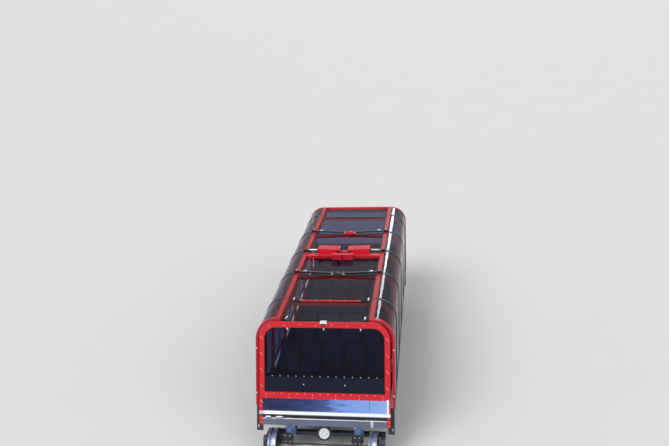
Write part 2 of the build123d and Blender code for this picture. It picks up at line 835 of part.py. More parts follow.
member_width = 100.0
member_inset = 15.0
member_count = 4
member_setback = 600.0
first_member = chassis_start + member_setback
member_step = (chassis_end - first_member - member_width) / (member_count - 1)
with BuildPart() as cross_members:
    for index in range(member_count):
        start = first_member + index * member_step
        with BuildSketch(side_plane(-inner_side)):
            add(box_face(start, start + member_width, chassis_foot + member_inset, chassis_top - member_inset))
        extrude(amount=2 * inner_side)
cross_members.part.label = "cross_members"
export_step(cross_members.part, "parts/cross_members.step")

with BuildPart() as floor_saddles:
    for row in range(row_count):
        centre = valley_y + row * bay_run
        top = valley_z - seat_gap * 2
        with BuildSketch(side_plane(-saddle_x)):
            with BuildLine():
                Polyline(
                    (centre - saddle_reach, chassis_top),
                    (centre + saddle_reach, chassis_top),
                    (centre + saddle_reach, top + saddle_reach / math.tan(slope)),
                    (centre, top),
                    (centre - saddle_reach, top + saddle_reach * math.tan(slope)),
                    close=True,
                )
            make_face()
        extrude(amount=2 * saddle_x)
floor_saddles.part.label = "floor_saddles"
export_step(floor_saddles.part, "parts/floor_saddles.step")

# Knee brackets: plates that carry the sills from the chassis beams, under the crests of the floor
knee_thick = 12.0
knee_margin = 10.0
knee_outer_height = 105.0
knee_inner_foot = chassis_foot + member_inset
knee_inner_top = chassis_top
knee_outer_foot = body_foot_z + knee_margin
knee_outer_top = knee_outer_foot + knee_outer_height
with BuildPart() as knee_brackets:
    for row in range(1, row_count):
        crest_y = row_points(row, [(nosing, tread_top)])[0][0]
        with BuildSketch(cross_plane(crest_y)):
            with BuildLine():
                Polyline(
                    (outer_side, knee_inner_foot),
                    (outer_side, knee_inner_top),
                    (sill_inner_x, knee_outer_top),
                    (sill_inner_x, knee_outer_foot),
                    close=True,
                )
            make_face()
        extrude(amount=knee_thick / 2, both=True)
    mirror(about=Plane.YZ)
knee_brackets.part.label = "knee_brackets"
export_step(knee_brackets.part, "parts/knee_brackets.step")

# Hangers: plates with a round foot under the bumpers, which close the ends of the chassis beams
hanger_half = 85.0
hanger_foot = 20.0
hanger_round_z = chassis_foot - hanger_foot + hanger_half
hanger_runs = (chassis_start - hanger_thick / 2, chassis_end + hanger_thick / 2)
with BuildPart() as hangers:
    for run in hanger_runs:
        with BuildSketch(cross_plane(run)):
            for x in (-chassis_x, chassis_x):
                add(box_face(x - hanger_half, x + hanger_half, hanger_round_z, body_foot_z))
                with Locations((x, hanger_round_z)):
                    Circle(hanger_half)
        extrude(amount=hanger_thick / 2, both=True)
hangers.part.label = "hangers"
export_step(hangers.part, "parts/hangers.step")

# Buffers: round pads on plungers that slide in sleeves, on the downhill hangers
buffer_z = 537.0
buffer_thick = 30.0
hanger_front = chassis_start - hanger_thick
buffer_profile = [
    # radius, distance from the hanger at which this step ends
    (66.0, 16.0),
    (52.0, 120.0),
    (40.0, nose_reach - buffer_thick + hanger_front),
    (105.0, nose_reach + hanger_front),
]
with BuildPart() as buffers:
    start = 0
    for radius, end in buffer_profile:
        with BuildSketch(cross_plane(hanger_front - start)):
            with Locations((-chassis_x, buffer_z), (chassis_x, buffer_z)):
                Circle(radius)
        extrude(amount=end - start)
        start = end
buffers.part.label = "buffers"
export_step(buffers.part, "parts/buffers.step")

# Headlamp: round housing on a plate under the middle of the front bumper, raked like the face
lamp_radius = 125.0
lamp_fall = 2.0
lamp_drop = foot_drop + lamp_fall + lamp_radius
lamp_depth = 40.0
lamp_reach = 5.0
lens_radius = 86.0
lens_thick = 12.0
lens_gap = 1.0
lamp_plate_half = 60.0
lamp_plate_thick = 30.0
with BuildPart() as headlamp_housing:
    with BuildSketch(section_plane(-lamp_reach)):
        with Locations((0, -lamp_drop)):
            Circle(lamp_radius)
    extrude(amount=lamp_depth, dir=along_track)
    with BuildSketch(section_plane(0)):
        add(box_face(-lamp_plate_half, lamp_plate_half, -lamp_drop, -foot_drop))
    extrude(amount=lamp_plate_thick, dir=along_track)
    with BuildSketch(section_plane(-lamp_reach)):
        with Locations((0, -lamp_drop)):
            Circle(lens_radius + lens_gap)
    extrude(amount=lens_thick, dir=along_track, mode=Mode.SUBTRACT)
headlamp_housing.part.label = "headlamp_housing"
export_step(headlamp_housing.part, "parts/headlamp_housing.step")

with BuildPart() as headlamp_lens:
    with BuildSketch(section_plane(-lamp_reach)):
        with Locations((0, -lamp_drop)):
            Circle(lens_radius)
    extrude(amount=lens_thick, dir=along_track)
headlamp_lens.part.label = "headlamp_lens"
export_step(headlamp_lens.part, "parts/headlamp_lens.step")

# Drawbar: flat bar with an eye at the uphill end
drawbar_length = 330.0
drawbar_half_width = 30.0
drawbar_root_height = 70.0
eye_outer = 60.0
eye_bore = 25.0
drawbar_tip_half = 42.0
drawbar_z = (chassis_foot + chassis_top) / 2
drawbar_eye_y = chassis_end + drawbar_length
with BuildPart() as drawbar:
    with BuildSketch(side_plane(-drawbar_half_width)):
        with BuildLine():
            Polyline(
                (chassis_end, drawbar_z - drawbar_root_height / 2),
                (drawbar_eye_y, drawbar_z - drawbar_tip_half),
                (drawbar_eye_y, drawbar_z + drawbar_tip_half),
                (chassis_end, drawbar_z + drawbar_root_height / 2),
                close=True,
            )
        make_face()
        with Locations((drawbar_eye_y, drawbar_z)):
            Circle(eye_outer)
            Circle(eye_bore, mode=Mode.SUBTRACT)
    extrude(amount=2 * drawbar_half_width)
drawbar.part.label = "drawbar"
export_step(drawbar.part, "parts/drawbar.step")

# Wheelset carriers: a side frame with its axle box outside each wheel, joined by a transom under the chassis beams
transom_width = 80.0
transom_height = 70.0
transom_gap = 20.0
carrier_gap = 33.0
carrier_width = 80.0
carrier_inner_x = wheel_centre_x + wheel_width / 2 + carrier_gap
carrier_outer_x = carrier_inner_x + carrier_width
box_radius = 85.0
dome_radius = 72.0
dome_rise = 120.0
transom_start = flange_radius + transom_gap
transom_end = transom_start + transom_width
transom_foot = chassis_foot - transom_height
axle_table = {
    # end: (run of the axle, way from the axle to the middle of the car)
    "front": (front_foot_y - front_axle_lead, 1),
    "rear": (rear_foot_y - rear_axle_setback, -1),
}
with BuildPart() as carriers:
    for run, inward in axle_table.values():
        for x in (-carrier_outer_x, carrier_inner_x):
            with BuildSketch(side_plane(x)):
                add(box_face(run - dome_radius, run + dome_radius, flange_radius, flange_radius + dome_rise))
                with Locations((run, flange_radius + dome_rise)):
                    Circle(dome_radius)
                with BuildLine():
                    Polyline(
                        (run, flange_radius - box_radius),
                        (run + inward * transom_start, transom_foot),
                        (run + inward * transom_end, transom_foot),
                        (run + inward * transom_end, chassis_foot),
                        (run, flange_radius + dome_rise),
                        close=True,
                    )
                make_face()
                with Locations((run, flange_radius)):
                    Circle(box_radius)
                    Circle(journal_radius + running_gap, mode=Mode.SUBTRACT)
            extrude(amount=carrier_width)
        low_run = min(run + inward * transom_start, run + inward * transom_end)
        with BuildSketch(side_plane(-carrier_inner_x)):
            add(box_face(low_run, low_run + transom_width, transom_foot, chassis_foot))
        extrude(amount=2 * carrier_inner_x)
carriers.part.label = "carriers"
export_step(carriers.part, "parts/carriers.step")

# Wheelsets: an axle with a pair of double-flanged wheels on flat webs
axle_lip = 10.0
shoulder_gap = 15.0
axle_end_x = carrier_outer_x + axle_lip
journal_start_x = carrier_inner_x - shoulder_gap
hub_radius = 85.0
hub_half = 62.0
web_half = 16.0
rim_inner = 235.0
tread_half = 38.0
wheel_half = wheel_width / 2
wheel_profile = [
    # distance along the axle, radius
    (-wheel_half, rim_inner),
    (-wheel_half, flange_radius),
    (-tread_half, flange_radius),
    (-tread_half, tread_radius),
    (tread_half, tread_radius),
    (tread_half, flange_radius),
    (wheel_half, flange_radius),
    (wheel_half, rim_inner),
    (web_half, rim_inner),
    (web_half, hub_radius),
    (hub_half, hub_radius),
    (hub_half, axle_radius),
    (-hub_half, axle_radius),
    (-hub_half, hub_radius),
    (-web_half, hub_radius),
    (-web_half, rim_inner),
]
for end, (run, inward) in axle_table.items():
    with BuildPart() as axle:
        with BuildSketch(side_plane(-axle_end_x)):
            with Locations((run, flange_radius)):
                Circle(journal_radius)
        extrude(amount=2 * axle_end_x)
        with BuildSketch(side_plane(-journal_start_x)):
            with Locations((run, flange_radius)):
                Circle(axle_radius)
        extrude(amount=2 * journal_start_x)
    axle.part.label = f"axle_{end}"
    export_step(axle.part, f"parts/axle_{end}.step")

    axle_plane = Plane(origin=(0, ring_top_y + run, flange_radius), x_dir=(1, 0, 0), z_dir=(0, -1, 0))
    with BuildPart() as wheels:
        with BuildSketch(axle_plane):
            with Locations((-wheel_centre_x, 0), (wheel_centre_x, 0)):
                Polygon(*wheel_profile, align=None)
        revolve(axis=Axis(axle_plane.origin, (1, 0, 0)), revolution_arc=360)
    wheels.part.label = f"wheels_{end}"
    export_step(wheels.part, f"parts/wheels_{end}.step")
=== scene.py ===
# Funicular car for a steep rope-hauled line: a glazed body with raked ends and two long gull-wing leaves.
# Metres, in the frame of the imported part: +Y uphill along the car, +X right, +Z square to the floor.
import math

import bmesh
import bpy
from mathutils import Matrix, Vector


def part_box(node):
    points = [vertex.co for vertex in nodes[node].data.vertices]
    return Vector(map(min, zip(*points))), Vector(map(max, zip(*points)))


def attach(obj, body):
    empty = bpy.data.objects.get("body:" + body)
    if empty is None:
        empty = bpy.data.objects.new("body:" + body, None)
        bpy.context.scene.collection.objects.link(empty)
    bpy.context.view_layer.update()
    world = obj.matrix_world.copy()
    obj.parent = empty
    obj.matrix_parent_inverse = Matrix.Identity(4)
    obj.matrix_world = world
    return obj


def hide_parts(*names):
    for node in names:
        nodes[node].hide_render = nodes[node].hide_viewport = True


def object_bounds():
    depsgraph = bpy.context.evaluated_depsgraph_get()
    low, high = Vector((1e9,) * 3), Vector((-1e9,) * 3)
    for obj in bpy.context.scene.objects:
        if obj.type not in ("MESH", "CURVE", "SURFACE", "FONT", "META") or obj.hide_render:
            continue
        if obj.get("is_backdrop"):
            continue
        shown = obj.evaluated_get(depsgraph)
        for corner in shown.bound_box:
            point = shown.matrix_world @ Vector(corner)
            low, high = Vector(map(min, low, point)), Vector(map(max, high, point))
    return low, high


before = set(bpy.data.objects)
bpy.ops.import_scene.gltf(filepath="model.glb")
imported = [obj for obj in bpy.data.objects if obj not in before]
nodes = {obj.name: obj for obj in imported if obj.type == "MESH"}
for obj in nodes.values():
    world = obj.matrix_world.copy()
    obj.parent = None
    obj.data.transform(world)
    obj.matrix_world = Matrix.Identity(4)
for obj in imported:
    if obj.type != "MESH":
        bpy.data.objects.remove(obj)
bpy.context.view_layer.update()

# Studio: a pale painted floor under the wheels that runs into a pale surround and keeps the car's shadow.
# The light is that of a bright overcast day: two broad suns and the surround. Two weak suns low behind
# the car only draw the bright line along the gloss of its right leaf.
floor_reach = 900.0
floor_shade = (0.80, 0.80, 0.79, 1)
floor_worn = (0.77, 0.77, 0.765, 1)
surround_shade = (0.86, 0.88, 0.90, 1)
surround_seen = 0.92
surround_fill = 0.5
bm = bmesh.new()
bmesh.ops.create_grid(bm, x_segments=1, y_segments=1, size=floor_reach)
floor_mesh = bpy.data.meshes.new("studio_floor")
bm.to_mesh(floor_mesh)
bm.free()
studio_floor = bpy.data.objects.new("studio_floor", floor_mesh)
bpy.context.scene.collection.objects.link(studio_floor)
studio_floor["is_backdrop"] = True


def new_node(tree, kind, values=None, **settings):
    """A shader node with its own settings, and with values for its sockets."""
    node = tree.nodes.new("ShaderNode" + kind)
    for name, setting in settings.items():
        setattr(node, name, setting)
    for socket, value in (values or {}).items():
        node.inputs[socket].default_value = value
    return node


floor_paint = bpy.data.materials.new("floor_paint")
floor_paint.use_nodes = True
tree = floor_paint.node_tree
shader = tree.nodes["Principled BSDF"]
shader.inputs["Roughness"].default_value = 0.9
shader.inputs["Specular IOR Level"].default_value = 0.1
place = new_node(tree, "TexCoord")
mottle = new_node(tree, "TexNoise", {"Scale": 0.6})
tint = new_node(tree, "Mix", {"A": floor_shade, "B": floor_worn}, data_type="RGBA")
tree.links.new(place.outputs["Object"], mottle.inputs["Vector"])
tree.links.new(mottle.outputs["Fac"], tint.inputs["Factor"])
tree.links.new(tint.outputs["Result"], shader.inputs["Base Color"])
floor_mesh.materials.append(floor_paint)

surround = bpy.data.worlds.new("studio_surround")
bpy.context.scene.world = surround
surround.use_nodes = True
tree = surround.node_tree
sky = tree.nodes["Background"]
sky.inputs["Color"].default_value = surround_shade
ray = new_node(tree, "LightPath")
camera_or_glossy = new_node(tree, "Math", operation="MAXIMUM")
seen_rays = new_node(tree, "Math", operation="MAXIMUM")
strength = new_node(tree, "MapRange", {"To Min": surround_fill, "To Max": surround_seen})
tree.links.new(ray.outputs["Is Camera Ray"], camera_or_glossy.inputs[0])
tree.links.new(ray.outputs["Is Glossy Ray"], camera_or_glossy.inputs[1])
tree.links.new(camera_or_glossy.outputs["Value"], seen_rays.inputs[0])
tree.links.new(ray.outputs["Is Transmission Ray"], seen_rays.inputs[1])
tree.links.new(seen_rays.outputs["Value"], strength.inputs["Value"])
tree.links.new(strength.outputs["Result"], sky.inputs["Strength"])
bpy.context.scene.view_settings.view_transform = "Standard"

sun_table = [
    # name, direction that it shines along, strength, width as an angle, lights matt surfaces too
    ("key_sun", (0.45, 0.55, -0.75), 1.7, 0.7, True),
    ("fill_sun", (-0.55, 0.45, -0.5), 0.7, 0.7, True),
    ("edge_sun_low", (-0.075, -0.935, -0.345), 0.16, 0.12, False),
    ("edge_sun_high", (-0.075, -0.90, -0.430), 0.16, 0.12, False),
]
for name, beam, power, width, lights_matt in sun_table:
    lamp_data = bpy.data.lights.new(name, "SUN")
    lamp_data.angle = width
    lamp_data.energy = power
    lamp = bpy.data.objects.new(name, lamp_data)
    lamp.rotation_euler = Vector(beam).to_track_quat("-Z", "Y").to_euler()
    lamp.visible_diffuse = lights_matt
    bpy.context.scene.collection.objects.link(lamp)

# Camera: downhill of the car and above its roof, a little to its right, looking up along it and rolled
# slightly, as the picture shows. It stands off the top of the front ring, which the rings' box gives.
rake = math.radians(19.8)
foot_drop = 1.797
ring_low, ring_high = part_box("end_rings")
ring_top = Vector((0.0, ring_low[1] + foot_drop * math.sin(rake), ring_high[2]))
camera_offset = Vector((1.854, -10.686, 5.704))
camera_azimuth, camera_fall, camera_roll = (math.radians(a) for a in (8.331, 19.722, 3.197))
film_width = 36.0
focal_pixels = 700
picture_pixels = 669
camera_data = bpy.data.cameras.new("camera")
camera_data.sensor_width = film_width
camera_data.lens = film_width * focal_pixels / picture_pixels
camera = bpy.data.objects.new("camera", camera_data)
forward = Vector((
    -math.sin(camera_azimuth) * math.cos(camera_fall),
    math.cos(camera_azimuth) * math.cos(camera_fall),
    -math.sin(camera_fall),
))
level = forward.cross(Vector((0, 0, 1))).normalized()
upward = level.cross(forward)
right = level * math.cos(camera_roll) - upward * math.sin(camera_roll)
upward = upward * math.cos(camera_roll) + level * math.sin(camera_roll)
camera.matrix_world = Matrix((right, upward, -forward)).transposed().to_4x4()
camera.location = ring_top + camera_offset
bpy.context.scene.collection.objects.link(camera)
bpy.context.scene.camera = camera

# Road film: the thin dust, rain marks and fine grain that every painted or metal piece of the car carries.
# It is one node group, and each finish sets its own amounts.
road_film = bpy.data.node_groups.new("road_film", "ShaderNodeTree")
for name, kind in (
    ("Clean", "NodeSocketColor"), ("Dust", "NodeSocketColor"), ("Amount", "NodeSocketFloat"),
    ("Scale", "NodeSocketFloat"), ("Low Gloss", "NodeSocketFloat"), ("High Gloss", "NodeSocketFloat"),
):
    road_film.interface.new_socket(name, in_out="INPUT", socket_type=kind)
for name, kind in (
    ("Colour", "NodeSocketColor"), ("Roughness", "NodeSocketFloat"), ("Grain", "NodeSocketFloat"),
):
    road_film.interface.new_socket(name, in_out="OUTPUT", socket_type=kind)
given = road_film.nodes.new("NodeGroupInput")
made = road_film.nodes.new("NodeGroupOutput")
place = new_node(road_film, "TexCoord")
patches = new_node(road_film, "TexNoise", {"Detail": 5.0, "Roughness": 0.6})
runs = new_node(road_film, "Mapping", {"Scale": (9.0, 9.0, 0.8)})
streaks = new_node(road_film, "TexNoise", {"Scale": 3.0, "Detail": 3.0})
lying = new_node(road_film, "SeparateXYZ")
settled = new_node(road_film, "MapRange", {"From Min": 0.1, "From Max": 1.0, "To Min": 0.35, "To Max": 1.0})
both = new_node(road_film, "Math", operation="MULTIPLY")
sharp = new_node(road_film, "MapRange", {"From Min": 0.18, "From Max": 0.46})
weighed = new_node(road_film, "Math", operation="MULTIPLY")
lain = new_node(road_film, "Math", operation="MULTIPLY")
dusted = new_node(road_film, "Mix", data_type="RGBA")
gloss = new_node(road_film, "MapRange")
grain = new_node(road_film, "TexNoise", {"Scale": 260.0, "Detail": 2.0})
for start, finish in (
    (place.outputs["Object"], patches.inputs["Vector"]), (given.outputs["Scale"], patches.inputs["Scale"]),
    (place.outputs["Object"], runs.inputs["Vector"]), (runs.outputs["Vector"], streaks.inputs["Vector"]),
    (place.outputs["Object"], grain.inputs["Vector"]), (place.outputs["Normal"], lying.inputs["Vector"]),
    (lying.outputs["Z"], settled.inputs["Value"]), (patches.outputs["Fac"], both.inputs[0]),
    (streaks.outputs["Fac"], both.inputs[1]), (both.outputs["Value"], sharp.inputs["Value"]),
    (sharp.outputs["Result"], weighed.inputs[0]), (given.outputs["Amount"], weighed.inputs[1]),
    (weighed.outputs["Value"], lain.inputs[0]), (settled.outputs["Result"], lain.inputs[1]),
    (lain.outputs["Value"], dusted.inputs["Factor"]), (given.outputs["Clean"], dusted.inputs["A"]),
    (given.outputs["Dust"], dusted.inputs["B"]), (patches.outputs["Fac"], gloss.inputs["Value"]),
    (given.outputs["Low Gloss"], gloss.inputs["To Min"]),
    (given.outputs["High Gloss"], gloss.inputs["To Max"]),
    (dusted.outputs["Result"], made.inputs["Colour"]), (gloss.outputs["Result"], made.inputs["Roughness"]),
    (grain.outputs["Fac"], made.inputs["Grain"]),
):
    road_film.links.new(start, finish)


def filmed_finish(name, clean, dust, amount, scale, low_gloss, high_gloss, grain_height, plain=None):
    """A material with colour, roughness and grain from the road film, and its plain shader values."""
    material = bpy.data.materials.new(name)
    material.use_nodes = True
    tree = material.node_tree
    shader = tree.nodes["Principled BSDF"]
    film = new_node(tree, "Group", {
        "Clean": (*clean, 1), "Dust": (*dust, 1), "Amount": amount,
        "Scale": scale, "Low Gloss": low_gloss, "High Gloss": high_gloss,
    }, node_tree=road_film)
    relief = new_node(tree, "Bump", {"Strength": 0.5, "Distance": grain_height})
    tree.links.new(film.outputs["Colour"], shader.inputs["Base Color"])
    tree.links.new(film.outputs["Roughness"], shader.inputs["Roughness"])
    tree.links.new(film.outputs["Grain"], relief.inputs["Height"])
    tree.links.new(relief.outputs["Normal"], shader.inputs["Normal"])
    for socket, value in (plain or {}).items():
        shader.inputs[socket].default_value = value
    return material


# End rings: flat red frames cut from plate, powder coated, and bolted all round to the black frames
# behind them. Galvanised bolts stand along the middle of the band, and closer along the bottom bar.
red_paint = filmed_finish(
    "red_paint", (0.60, 0.018, 0.028), (0.28, 0.06, 0.06), 0.12, 2.2, 0.28, 0.42, 0.00006,
    {"Specular IOR Level": 0.22, "Coat Weight": 0.06, "Coat Roughness": 0.15})
bolt_zinc = filmed_finish(
    "bolt_zinc", (0.72, 0.73, 0.76), (0.35, 0.33, 0.31), 0.35, 30.0, 0.25, 0.45, 0.00003, {"Metallic": 0.85})
body_run = 6.25
ring_half = 1.15
ring_corner = 0.30
ring_band = 0.095
bar_top_drop = 1.23
bar_height = 0.105
band_middle = ring_band / 2
ring_bolt_pitch = 0.28
ring_bolt_radius, ring_bolt_rise = 0.0055, 0.006
first_bolt_drop = ring_corner - 0.02
corner_bolt_turn = math.radians(62)
leg_bolt_inset = 0.030
leg_bolt_drops = (1.40, 1.475, 1.62, 1.70, 1.76)
bar_bolt_pitch = 0.1365
bar_pair_drops = (0.035, 0.088)
bar_single_drop = 0.018
pair_spread, pair_stagger, top_stagger = 0.012, 0.015, 0.008


def coat_nodes(material, *names):
    """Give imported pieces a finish."""
    for name in names:
        nodes[name].data.materials.clear()
        nodes[name].data.materials.append(material)


def piece_from(name, bm, material, body, rounding=0.0):
    """A finished piece of a bmesh, with its finish, its body and softened edges."""
    bmesh.ops.recalc_face_normals(bm, faces=bm.faces)
    mesh = bpy.data.meshes.new(name)
    bm.to_mesh(mesh)
    bm.free()
    mesh.shade_smooth()
    mesh.set_sharp_from_angle(angle=math.radians(35))
    mesh.materials.append(material)
    piece = bpy.data.objects.new(name, mesh)
    bpy.context.scene.collection.objects.link(piece)
    if rounding:
        soft = piece.modifiers.new("rounded_edges", "BEVEL")
        soft.width = rounding
        soft.segments = 2
        soft.limit_method = "ANGLE"
        soft.angle_limit = math.radians(40)
        soft.harden_normals = True
    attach(piece, body)
    return piece


def face_frame(run, outward):
    """Frame of a raked end face: x across, y up the face from the ring's top, z out of the face."""
    up_face = Vector((0, math.sin(rake), math.cos(rake)))
    out_of_face = Vector((0, -math.cos(rake), math.sin(rake))) * outward
    across = up_face.cross(out_of_face)
    stand = Matrix((across, up_face, out_of_face)).transposed().to_4x4()
    stand.translation = ring_top + Vector((0, run, 0))
    return stand


def bolt_heads(bm, places, radius, rise, stand=Matrix.Identity(4), outward=(0, 0, 1)):
    """A washer and a chamfered hexagon head at each place of a frame, pointing outward."""
    turn = Vector((0, 0, 1)).rotation_difference(Vector(outward)).to_matrix().to_4x4()
    steps = [
        # sides, radius at the foot, radius at the top, foot, top, as shares
        (16, 1.45, 1.35, 0.0, 0.25),
        (6, 1.0, 1.0, 0.25, 0.8),
        (6, 1.0, 0.78, 0.8, 1.0),
    ]
    for spot in places:
        for count, foot_share, top_share, foot, top in steps:
            middle = Matrix.Translation((0, 0, rise * (foot + top) / 2))
            bmesh.ops.create_cone(
                bm, cap_ends=True, segments=count, radius1=radius * foot_share, radius2=radius * top_share,
                depth=rise * (top - foot), matrix=stand @ Matrix.Translation(spot) @ turn @ middle)


coat_nodes(red_paint, "end_rings")
end_faces = [
    # run of the ring's outer face, way out
    (0.0, 1),
    (body_run, -1),
]
ring_spots = []
for side in (-1, 1):
    for k in range(5):
        for way in (-1, 1):
            x = ring_half - band_middle + way * pair_spread
            drop = first_bolt_drop + k * ring_bolt_pitch + way * side * pair_stagger
            ring_spots.append((side * x, -drop, 0))
    reach = ring_corner - band_middle
    ring_spots.append((
        side * (ring_half - ring_corner + reach * math.cos(corner_bolt_turn)),
        -ring_corner + reach * math.sin(corner_bolt_turn), 0))
    ring_spots += [(side * (ring_half - leg_bolt_inset), -drop, 0) for drop in leg_bolt_drops]
for k in range(6):
    ring_spots.append(((k - 2.5) * ring_bolt_pitch, -band_middle - (-1) ** k * top_stagger, 0))
for k in range(16):
    drops = bar_pair_drops if k % 3 == 0 else (bar_single_drop,)
    ring_spots += [((k - 7.5) * bar_bolt_pitch, -bar_top_drop - drop, 0) for drop in drops]
bm = bmesh.new()
for run, outward in end_faces:
    bolt_heads(bm, ring_spots, ring_bolt_radius, ring_bolt_rise, face_frame(run, outward))
piece_from("end_ring_bolts", bm, bolt_zinc, "root")

# End frames: welded steel frames in satin black behind the rings, which carry the roof, the sills and
# the panes. The black cross bar behind the joint of pane and panels is welded into them.
black_paint = filmed_finish(
    "black_paint", (0.010, 0.010, 0.012), (0.07, 0.068, 0.066), 0.4, 2.6, 0.38, 0.55, 0.00008)
coat_nodes(black_paint, "end_frames", "crossbars")

# Windscreen and rear window: dark tinted safety glass, screwed to the cross bar along its lower edge.
# Three small bright fittings hold its upper edge.
tinted_glass = filmed_finish(
    "tinted_glass", (0.15, 0.175, 0.34), (0.16, 0.17, 0.30), 0.3, 1.2, 0.015, 0.03, 0.0,
    {"Transmission Weight": 1.0, "IOR": 1.2})
coat_nodes(tinted_glass, "end_windows")
glass_setback = 0.02
screw_pitch = 0.1415
screw_drop = 0.952
fitting_xs = (-0.645, 0, 0.645)
fitting_drop = 0.128
fitting_half_width, fitting_half_height, fitting_rise = 0.012, 0.018, 0.012


def block(bm, corner, far_corner, rounding, stand=Matrix.Identity(4)):
    """A bar or plate between two opposite corners in a frame, with rounded edges."""
    corner, far_corner = Vector(corner), Vector(far_corner)
    size = Vector(abs(reach) for reach in far_corner - corner)
    place = stand @ Matrix.Translation((corner + far_corner) / 2) @ Matrix.Diagonal((*size, 1))
    made = bmesh.ops.create_cube(bm, size=1.0, matrix=place)["verts"]
    edges = list(dict.fromkeys(edge for vert in made for edge in vert.link_edges))
    bmesh.ops.bevel(
        bm, geom=edges, offset=rounding, offset_type="OFFSET", segments=2, profile=0.5, affect="EDGES",
        clamp_overlap=True, material=-1)


bm = bmesh.new()
for run, outward in end_faces:
    stand = face_frame(run + outward * glass_setback, outward)
    bolt_heads(bm, [((i - 6.5) * screw_pitch, -screw_drop, 0) for i in range(14)], 0.006, 0.006, stand)
piece_from("window_screws", bm, bolt_zinc, "root")
bm = bmesh.new()
for run, outward in end_faces:
    stand = face_frame(run + outward * glass_setback, outward)
    for x in fitting_xs:
        block(
            bm, (x - fitting_half_width, -fitting_drop - fitting_half_height, 0),
            (x + fitting_half_width, -fitting_drop + fitting_half_height, fitting_rise), 0.004, stand)
    bolt_heads(bm, [(x, -fitting_drop, fitting_rise - 0.001) for x in fitting_xs], 0.007, 0.006, stand)
piece_from("window_fittings", bm, bolt_zinc, "root")

# Lower panels of the ends: three dark gloss plastic sheets under the pane, held by the frame behind
# them, with one bolt over each seam.
dark_panel = filmed_finish(
    "dark_panel", (0.006, 0.009, 0.022), (0.03, 0.035, 0.055), 0.3, 1.8, 0.10, 0.2, 0.00002,
    {"Specular IOR Level": 0.16})
coat_nodes(dark_panel, "end_panels")
seam_x = 0.362
seam_bolt_drop = 1.095
bm = bmesh.new()
for run, outward in end_faces:
    stand = face_frame(run + outward * glass_setback, outward)
    bolt_heads(bm, [(side * seam_x, -seam_bolt_drop, 0) for side in (-1, 1)], 0.008, 0.008, stand)
piece_from("panel_seam_bolts", bm, bolt_zinc, "root")

# Valances: mirror-polished sheets whose foot is bent out into a lip, with a black lapped joint near their
# right end. Their colour is painted reflection: stripes of blue run across the steel, deep at the left and
# pale at the right. The lip's fold is a painted highlight that greys at its far left end, and the lip's
# underside is painted shade. A bright strip at the right end is a painted highlight.
valance_back = 0.010
bar_drop = bar_top_drop + bar_height
valance_height = 0.210
valance_foot_drop = bar_drop + valance_height
fold_drop = 1.593
fold_top_z = ring_top[2] - valance_foot_drop * math.cos(rake)
lip_top_z = ring_top[2] - fold_drop * math.cos(rake)
lap_x = 0.787
lap_half_width = 0.003
strip_inner_inset, strip_outer_inset = 0.064, 0.026
polished_steel = filmed_finish(
    "polished_steel", (0.62, 0.66, 0.80), (0.5, 0.52, 0.6), 0.10, 2.0, 0.06, 0.14, 0.00001)
tree = polished_steel.node_tree
shader = tree.nodes["Principled BSDF"]
film = next(node for node in tree.nodes if node.type == "GROUP")
place = new_node(tree, "TexCoord")
split = new_node(tree, "SeparateXYZ")
spread = new_node(tree, "Mapping", {"Scale": (1.0, 1.0, 5.0)})
reflection_clouds = new_node(tree, "TexNoise", {"Scale": 3.2, "Detail": 4.0, "Roughness": 0.65})
shifted = new_node(tree, "Math", {1: 1.1}, operation="MULTIPLY_ADD")
across = new_node(tree, "MapRange", {"From Min": -0.62, "From Max": 1.75})
# The stripes of colour are painted reflection: deep blue at the left, pale blue at the right, cloudy edged.
reflection_stripes = new_node(tree, "ValToRGB")
reflection_stops = [
    # place along the sheet, colour
    (0.0, (0.035, 0.038, 0.090)),
    (0.30, (0.040, 0.055, 0.160)),
    (0.50, (0.085, 0.125, 0.360)),
    (0.64, (0.250, 0.420, 0.950)),
    (1.0, (0.370, 0.570, 1.0)),
]
for index, (spot, shade) in enumerate(reflection_stops):
    stop = reflection_stripes.color_ramp.elements[index] if index < 2 else reflection_stripes.color_ramp.elements.new(spot)
    stop.position = spot
    stop.color = (*shade, 1)
# Painted highlight: the fold is made white and less metallic, and turns grey at its far left end.
fold_highlight_mask = new_node(tree, "MapRange", {"From Min": fold_top_z - 0.006, "From Max": fold_top_z - 0.016})
